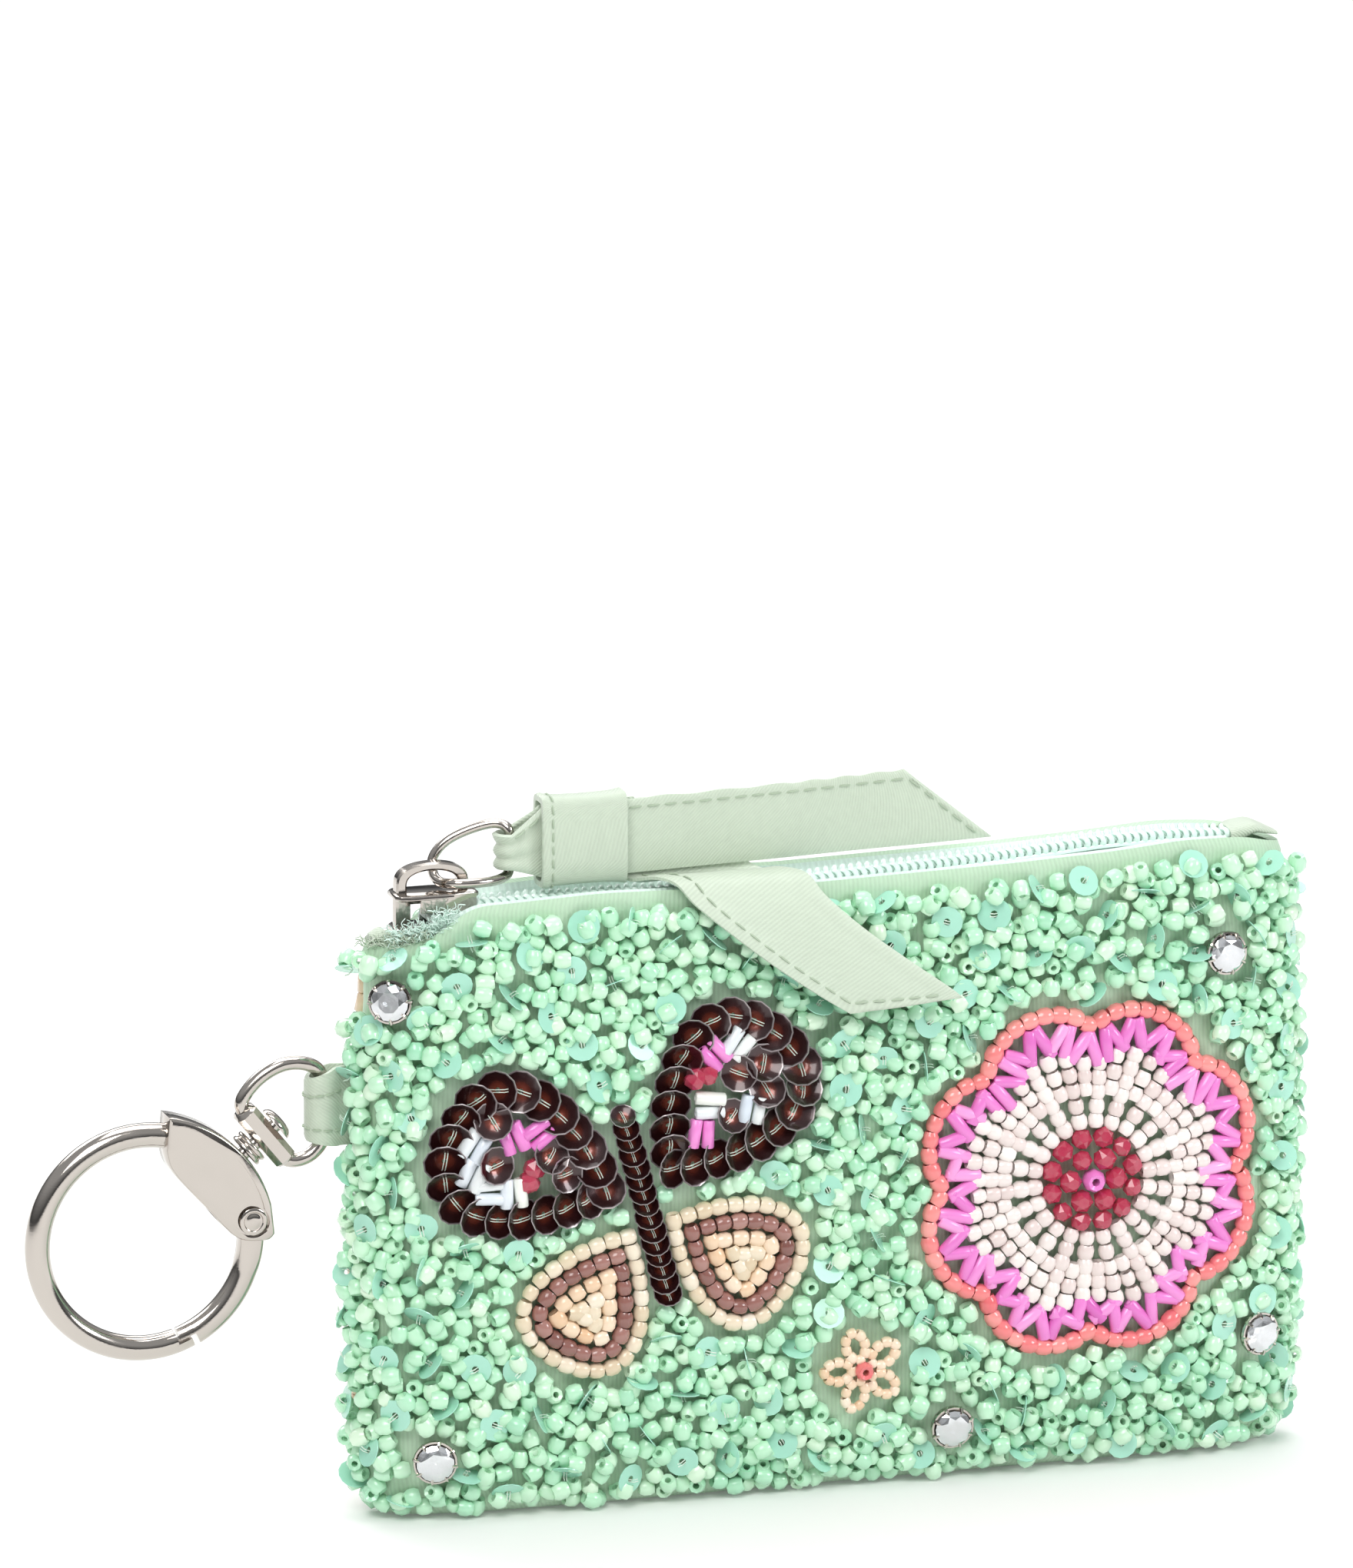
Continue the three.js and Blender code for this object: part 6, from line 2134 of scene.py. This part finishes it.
@dataclass
class Swivel:
    """The wire eye in the side tab, with its boss, and the post that turns in it."""

    origin: tuple[float, float, float] = (-69.0, 2.5, 47.0)
    tilt: float = 38.9
    wire: float = 1.7
    depth: float = 9.8
    across: float = 11.4
    boss: tuple[float, float, float] = (2.8, 3.6, 8.4)
    shaft: float = 0.9
    head: float = 2.2
    route: tuple[tuple[float, float], ...] = (
        (0, -0.36), (0.066, -0.44), (0.376, -0.5), (0.704, -0.445), (0.908, -0.311), (1, -0.161), (0.964, -0.007),
        (0.788, 0.208), (0.614, 0.393), (0.439, 0.496), (0.2, 0.499), (0, 0.36),
    )

    def place(self) -> Matrix:
        """The swivel's own axes: X towards the pouch along the post."""
        return Matrix.Translation(self.origin) @ Matrix.Rotation(math.radians(-self.tilt), 4, "Y")

    def build(self) -> None:
        """Builds the eye and the post."""
        route = np.array([(d * self.depth, 0.0, -a * self.across) for d, a in self.route])
        eye = sweep(catmull(route, True, 8), self.wire / 2, 18, True)
        made = make_object("swivel_eye_wire", eye.placed(self.place()), Look.NICKEL.material())
        hand_over(made, Body.POUCH, Slot.NICKEL, "swivel_eye")
        wide, thick, tall = self.boss[0] / 2, self.boss[1] / 2, self.boss[2] / 2
        b = 0.7
        section = np.array([
            (-wide, -thick + b), (-wide + b, -thick), (wide - b, -thick), (wide, -thick + b), (wide, thick - b),
            (wide - b, thick), (-wide + b, thick), (-wide, thick - b),
        ])
        levels = [(-tall, 0.62), (-tall + 0.12, 0.82), (-tall + 0.5, 1), (tall - 0.5, 1), (tall - 0.12, 0.82), (tall, 0.62)]
        rings = [np.stack([section[:, 0] * s, section[:, 1] * s, np.full(8, z)], 1) for z, s in levels]
        boss = make_object("swivel_boss", loft(rings).placed(self.place()), Look.NICKEL.material(), 20)
        bore = lathe([(1.2, -3), (1.2, 3)], 28).placed(self.place() @ Matrix.Rotation(math.pi / 2, 4, "Y"))
        carve(boss, [bore])
        hand_over(boss, Body.POUCH, Slot.NICKEL)
        h, s = self.head, self.shaft
        post = lathe([
            (0.0, -5.0), (s, -5.0), (s, -3.1), (h - 0.25, -3.1), (h - 0.05, -3.0), (h, -2.8), (h - 0.06, -2.6),
            (h - 0.28, -2.44), (h - 0.28, -2.38), (h - 0.08, -2.24), (h, -2.04), (h - 0.06, -1.84), (h - 0.22, -1.72),
            (s, -1.7), (s, 1.7), (h - 0.06, 1.7), (h, 1.78), (h - 0.02, 2.0), (h - 0.2, 2.24), (0.8 * h, 2.5),
            (0.55 * h, 2.7), (0.25 * h, 2.79), (0.0, 2.8),
        ], 40).placed(self.place() @ Matrix.Rotation(math.pi / 2, 4, "Y"))
        made = make_object("swivel_rivet", post, Look.NICKEL.material(), 40)
        hand_over(made, Body.RING, Slot.NICKEL, "swivel_post")


def bar_along(radius: float, angles: Points, section: Callable[[float], Points]) -> Shape:
    """A bar bent round a circle in X and Z.

    Args:
        radius: the radius that the sections are set on.
        angles: the angles of its stations, in degrees.
        section: for a share of the bar, points as distance outwards and Y.

    Returns:
        The shape.
    """
    rings = []
    for share, angle in zip(np.linspace(0, 1, len(angles)), np.radians(angles)):
        flat = section(float(share))
        reach = radius + flat[:, 0]
        rings.append(np.stack([reach * math.cos(angle), flat[:, 1], reach * math.sin(angle)], 1))
    return loft(rings)


def superellipse(half_out: float, half_deep: float, power: float, count: int = 20) -> Points:
    """A rounded section between an ellipse, at a power of two, and a rectangle."""
    a = np.arange(count) * 2 * np.pi / count
    x = np.sign(np.cos(a)) * np.abs(np.cos(a)) ** (2 / power)
    y = np.sign(np.sin(a)) * np.abs(np.sin(a)) ** (2 / power)
    return np.stack([half_out * x, half_deep * y], 1)


@dataclass
class RingClasp:
    """The ring with its flat block, the sprung gate and the gate's pin."""

    origin: tuple[float, float, float] = (-83.787, 2.5, 35.069)
    radius: float = 13.0
    wire: float = 3.0
    block_radius: float = 15.6
    thickness: float = 4.6
    pin: tuple[float, float] = (12.854, 1.944)
    swivel_tilt: float = 38.9

    def place(self) -> Matrix:
        """The ring's own axes at its centre."""
        return Matrix.Translation(self.origin)

    def wire_ring(self) -> Shape:
        """The round wire, with the outer half of its end drawn out over the gate."""
        r = self.wire / 2
        full = bar_along(self.radius, np.linspace(70, 286.9, 90), lambda _: superellipse(r, r, 2, 24))
        half = superellipse(r, r, 2, 24)
        half = np.stack([np.maximum(half[:, 0], 0.16), half[:, 1]], 1)
        lap = bar_along(self.radius, np.linspace(286.0, 294.6, 6), lambda share: half * [1, 1 - 0.12 * share])
        return Shape.joined([full, lap])

    def block_outline(self, inset: float = 0.0) -> Points:
        """The outline of the flat block."""
        arc = np.radians(np.linspace(80, 14, 40))
        outer = np.stack([self.block_radius * np.cos(arc), self.block_radius * np.sin(arc)], 1)
        inner = catmull(np.array([(15.5, 0.3), (14.9, -0.4), (13.4, -0.45), (11.0, 0.0), (7.2, 4.0), (2.9, 9.14), (2.32, 11.3)]), False, 4)
        line = np.vstack([outer, inner])
        even, _ = spaced(line, 0.5, True)
        return even

    def block(self) -> bpy.types.Object:
        """The flat block with its raised, bevelled rim, slotted for the gate and bored for the pin and the post."""
        half = self.thickness / 2
        levels = [(-half, 0.34), (-half + 0.1, 0.14), (-half + 0.34, 0.0)]
        mirrored = [(-y, inset) for y, inset in levels[::-1]]
        shape = slab(self.block_outline(), [*levels, *mirrored])
        sunk, _ = spaced(shrunk(self.block_outline(), 0.95), 0.6, True)
        faces = [slab(sunk, [(low, 0), (high, 0)]).placed(self.place()) for low, high in
                 ((-half - 1, -half + 0.3), (half - 0.3, half + 1))]
        made = make_object("clasp_block", shape.placed(self.place()), Look.NICKEL.material(), 28)
        x, z = self.pin
        arc = np.radians(np.linspace(130, 10, 9))
        room = 2.4
        slot = np.vstack([
            np.stack([x + 2.8 * np.cos(arc), z + 2.8 * np.sin(arc)], 1),
            [(x + room, -2 * room), (x - 3 * room, -2 * room), (x - 3 * room, z + 0.3 * room)],
        ])
        gate_slot = slab(slot, [(-1.5, 0), (1.5, 0)]).placed(self.place())
        across_y = Matrix.Translation((x, 0, z)) @ Matrix.Rotation(math.pi / 2, 4, "X")
        bore = lathe([(1.2, -5), (1.2, 5)], 28).placed(self.place() @ across_y)
        seats = [
            lathe([(1.95, low), (1.95, high)], 32).placed(self.place() @ across_y)
            for low, high in ((half - 0.65, half + 1), (-half - 1, -half + 0.65))
        ]
        along_post = Matrix.Rotation(math.radians(-self.swivel_tilt), 4, "Y") @ Matrix.Translation((self.block_radius, 0, 0))
        socket = lathe([(1.2, -1.9), (1.2, 1.9)], 28).placed(self.place() @ along_post @ Matrix.Rotation(math.pi / 2, 4, "Y"))
        carve(made, [*faces, gate_slot, bore, *seats, socket])
        return made

    def gate(self) -> Shape:
        """The gate: flat at its pin, turning to a round bar, with its end halved under the ring's."""
        def section(share: float) -> Points:
            power = 6 - 3.6 * min(share / 0.35, 1)
            return superellipse(1.5, 1.2 + 0.14 * min(share / 0.35, 1), power, 20)

        x, z = self.pin
        eye = lathe([(1.2, -1.2), (1.5, -1.2), (1.5, 1.2), (1.2, 1.2)], 32, True)
        eye = eye.placed(Matrix.Translation((x, 0, z)) @ Matrix.Rotation(math.pi / 2, 4, "X"))
        bar = bar_along(self.radius, np.linspace(1.9, -62.6, 40), section)
        half = superellipse(1.5, 1.3, 2.4, 20)
        half = np.stack([np.minimum(half[:, 0], -0.16), half[:, 1]], 1)
        lap = bar_along(self.radius, np.linspace(-61.6, -71.2, 6), lambda share: half * [1, 1 - 0.12 * share])
        return Shape.joined([eye, bar, lap])

    def pin_shape(self) -> Shape:
        """The pin, each head a ring with a domed middle."""
        x, z = self.pin
        half = self.thickness / 2
        side = [(0.9, half - 0.55), (1.55, half - 0.5), (1.7, half - 0.38), (1.66, half - 0.1), (1.5, half), (1.22, half - 0.02),
                (1.1, half - 0.16), (0.95, half - 0.16), (0.8, half - 0.06), (0.4, half - 0.01), (0.0, half)]
        profile = [(r, -h) for r, h in side[::-1]] + side
        pin = lathe(profile, 32)
        return pin.placed(Matrix.Translation((x, 0, z)) @ Matrix.Rotation(math.pi / 2, 4, "X"))

    def build(self) -> None:
        """Builds the clasp."""
        metal = Look.NICKEL.material()
        ring = make_object("clasp_wire", self.wire_ring().placed(self.place()), metal)
        hand_over(ring, Body.RING, Slot.NICKEL, "clasp_ring")
        hand_over(self.block(), Body.RING, Slot.NICKEL)
        gate = make_object("clasp_gate_bar", self.gate().placed(self.place()), metal, 40)
        hand_over(gate, Body.GATE, Slot.NICKEL, "clasp_gate")
        pin = make_object("gate_pin_rivet", self.pin_shape().placed(self.place()), metal, 40)
        hand_over(pin, Body.RING, Slot.NICKEL, "gate_pin")


# The studio


@dataclass
class Studio:
    """A plain white sweep, soft lights and the camera."""

    azimuth: float = -18.0
    elevation: float = 15.0
    distance: float = 1500.0
    target: tuple[float, float, float] = (0.0, 0.0, 37.0)
    target_pixel: tuple[float, float] = (1075.0, 1530.0)
    focal_pixels: float = 16269.0
    frame: tuple[int, int] = (1760, 2040)

    def camera(self) -> None:
        """The camera, turned so that its target lands on its pixel."""
        a, e = math.radians(self.azimuth), math.radians(self.elevation)
        view = Vector((math.sin(a) * math.cos(e), -math.cos(a) * math.cos(e), math.sin(e)))
        place = Vector(self.target) + self.distance * view
        width, height = self.frame
        off = Vector(((self.target_pixel[0] - width / 2) / self.focal_pixels, -(self.target_pixel[1] - height / 2) / self.focal_pixels))
        look = -view
        right = look.cross(Vector((0, 0, 1))).normalized()
        up = right.cross(look)
        aim = (look - right * off.x - up * off.y).normalized()
        data = bpy.data.cameras.new("camera")
        data.sensor_fit, data.sensor_height = "VERTICAL", 36.0
        data.lens = self.focal_pixels / height * 36.0
        data.clip_start, data.clip_end = 0.1, 20.0
        camera = bpy.data.objects.new("camera", data)
        camera.location = place * MM
        camera.rotation_euler = aim.to_track_quat("-Z", "Y").to_euler()
        bpy.context.scene.collection.objects.link(camera)
        bpy.context.scene.camera = camera

    def lights(self) -> None:
        """Large soft lights over and beside the pouch, and a pale world."""
        for name, place, size, power, colour in (
            ("key", (-380, -620, 760), 520, 5.2, (1.0, 0.99, 0.97)), ("fill", (620, -520, 420), 300, 2.6, (0.97, 0.98, 1.0)),
            ("top", (40, 120, 900), 620, 3.6, (1.0, 1.0, 1.0)), ("back", (-260, 620, 520), 360, 1.2, (1.0, 1.0, 1.0)), ("far", (0, 2300, 1500), 2400, 42.0, (1.0, 1.0, 1.0)),
        ):
            data = bpy.data.lights.new(name, "AREA")
            data.size, data.energy, data.color = size * MM, power, colour
            light = bpy.data.objects.new(name, data)
            light.location = Vector(place) * MM
            # The far light only keeps the floor behind the pouch white
            aim = Vector((0, 2600, 0)) if name == "far" else Vector(self.target)
            light.rotation_euler = (aim - Vector(place)).to_track_quat("-Z", "Y").to_euler()
            bpy.context.scene.collection.objects.link(light)
        world = bpy.data.worlds.new("pale_room")
        world.use_nodes = True
        back = next(node for node in world.node_tree.nodes if node.type == "BACKGROUND")
        where = add_node(world.node_tree, "ShaderNodeTexCoord")
        split = add_node(world.node_tree, "ShaderNodeSeparateXYZ", links={0: where.outputs["Generated"]})
        # Brighter overhead than at the level of the table, so that polished metal has something to mirror
        sky = add_node(world.node_tree, "ShaderNodeValToRGB", links={"Fac": split.outputs["Z"]})
        sky.color_ramp.elements[0].color = linear("#505254")
        sky.color_ramp.elements[1].position = 0.5
        sky.color_ramp.elements[1].color = linear("#F4F6F8")
        world.node_tree.links.new(sky.outputs["Color"], back.inputs["Color"])
        back.inputs["Strength"].default_value = 0.5
        bpy.context.scene.world = world

    def floor(self) -> None:
        """A wide plain floor."""
        material, _, shader = Finish("matt_white_card", "#EAEAE9", 0.8).begin()
        # The card glows a little, so that it stays white far from the lights
        shader.inputs["Emission Color"].default_value = linear("#FFFFFF")
        shader.inputs["Emission Strength"].default_value = 0.08
        half = 3000
        corners = np.array([(-half, -half, 0), (half, -half, 0), (half, half, 0), (-half, half, 0)], float)
        card = make_object("floor_card", Shape(corners, [(0, 1, 2, 3)]), material)

    def build(self) -> None:
        """Sets up the studio."""
        self.camera()
        self.lights()
        self.floor()
        bpy.context.scene.view_settings.view_transform = "Standard"


def main() -> None:
    """Builds the pouch in its studio."""
    logging.basicConfig(level=logging.INFO, format="%(message)s")
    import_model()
    Studio().build()
    form, sewing = PouchForm(), Sewing()
    panels = {side: Panel(form, side) for side in Side}
    for side, node in ((Side.FRONT, "front_panel"), (Side.BACK, "back_panel")):
        cloth = panels[side].build(Look.BASE, f"{side.name.lower()}_satin")
        hand_over(cloth, Body.POUCH, Slot.SATIN, node)
    work = Embroidery(form, sewing, np.random.default_rng(31))
    butterfly, daisy, bud, stones = Butterfly(work), Daisy(work), Bud(work), SetStones(form)
    blocked = [*butterfly.outlines(), daisy.outline(), bud.outline()]
    studs = [(x, z) for _, x, z in stones.places]
    BeadedPanel(form, Side.FRONT, panels[Side.FRONT], sewing, blocked=blocked, studs=studs).build(Look.MINT, "front")
    BeadedPanel(form, Side.BACK, panels[Side.BACK], sewing, spacing=1.9, sequin_spacing=0, heap_spacing=0, piping=True).build(Look.MINT, "back")
    for motif in (butterfly, daisy, bud, stones):
        motif.build()
    mouth = Zip(form, sewing)
    mouth.tapes()
    mouth.coils()
    mouth.slider()
    mouth.stops()
    PullWire(mouth).build()
    RibbonPull(form, sewing).build()
    SideTab(sewing).build()
    Swivel().build()
    RingClasp().build()
    for mesh in [mesh for mesh in bpy.data.meshes if not mesh.users]:
        bpy.data.meshes.remove(mesh)


if __name__ == "__main__":
    main()
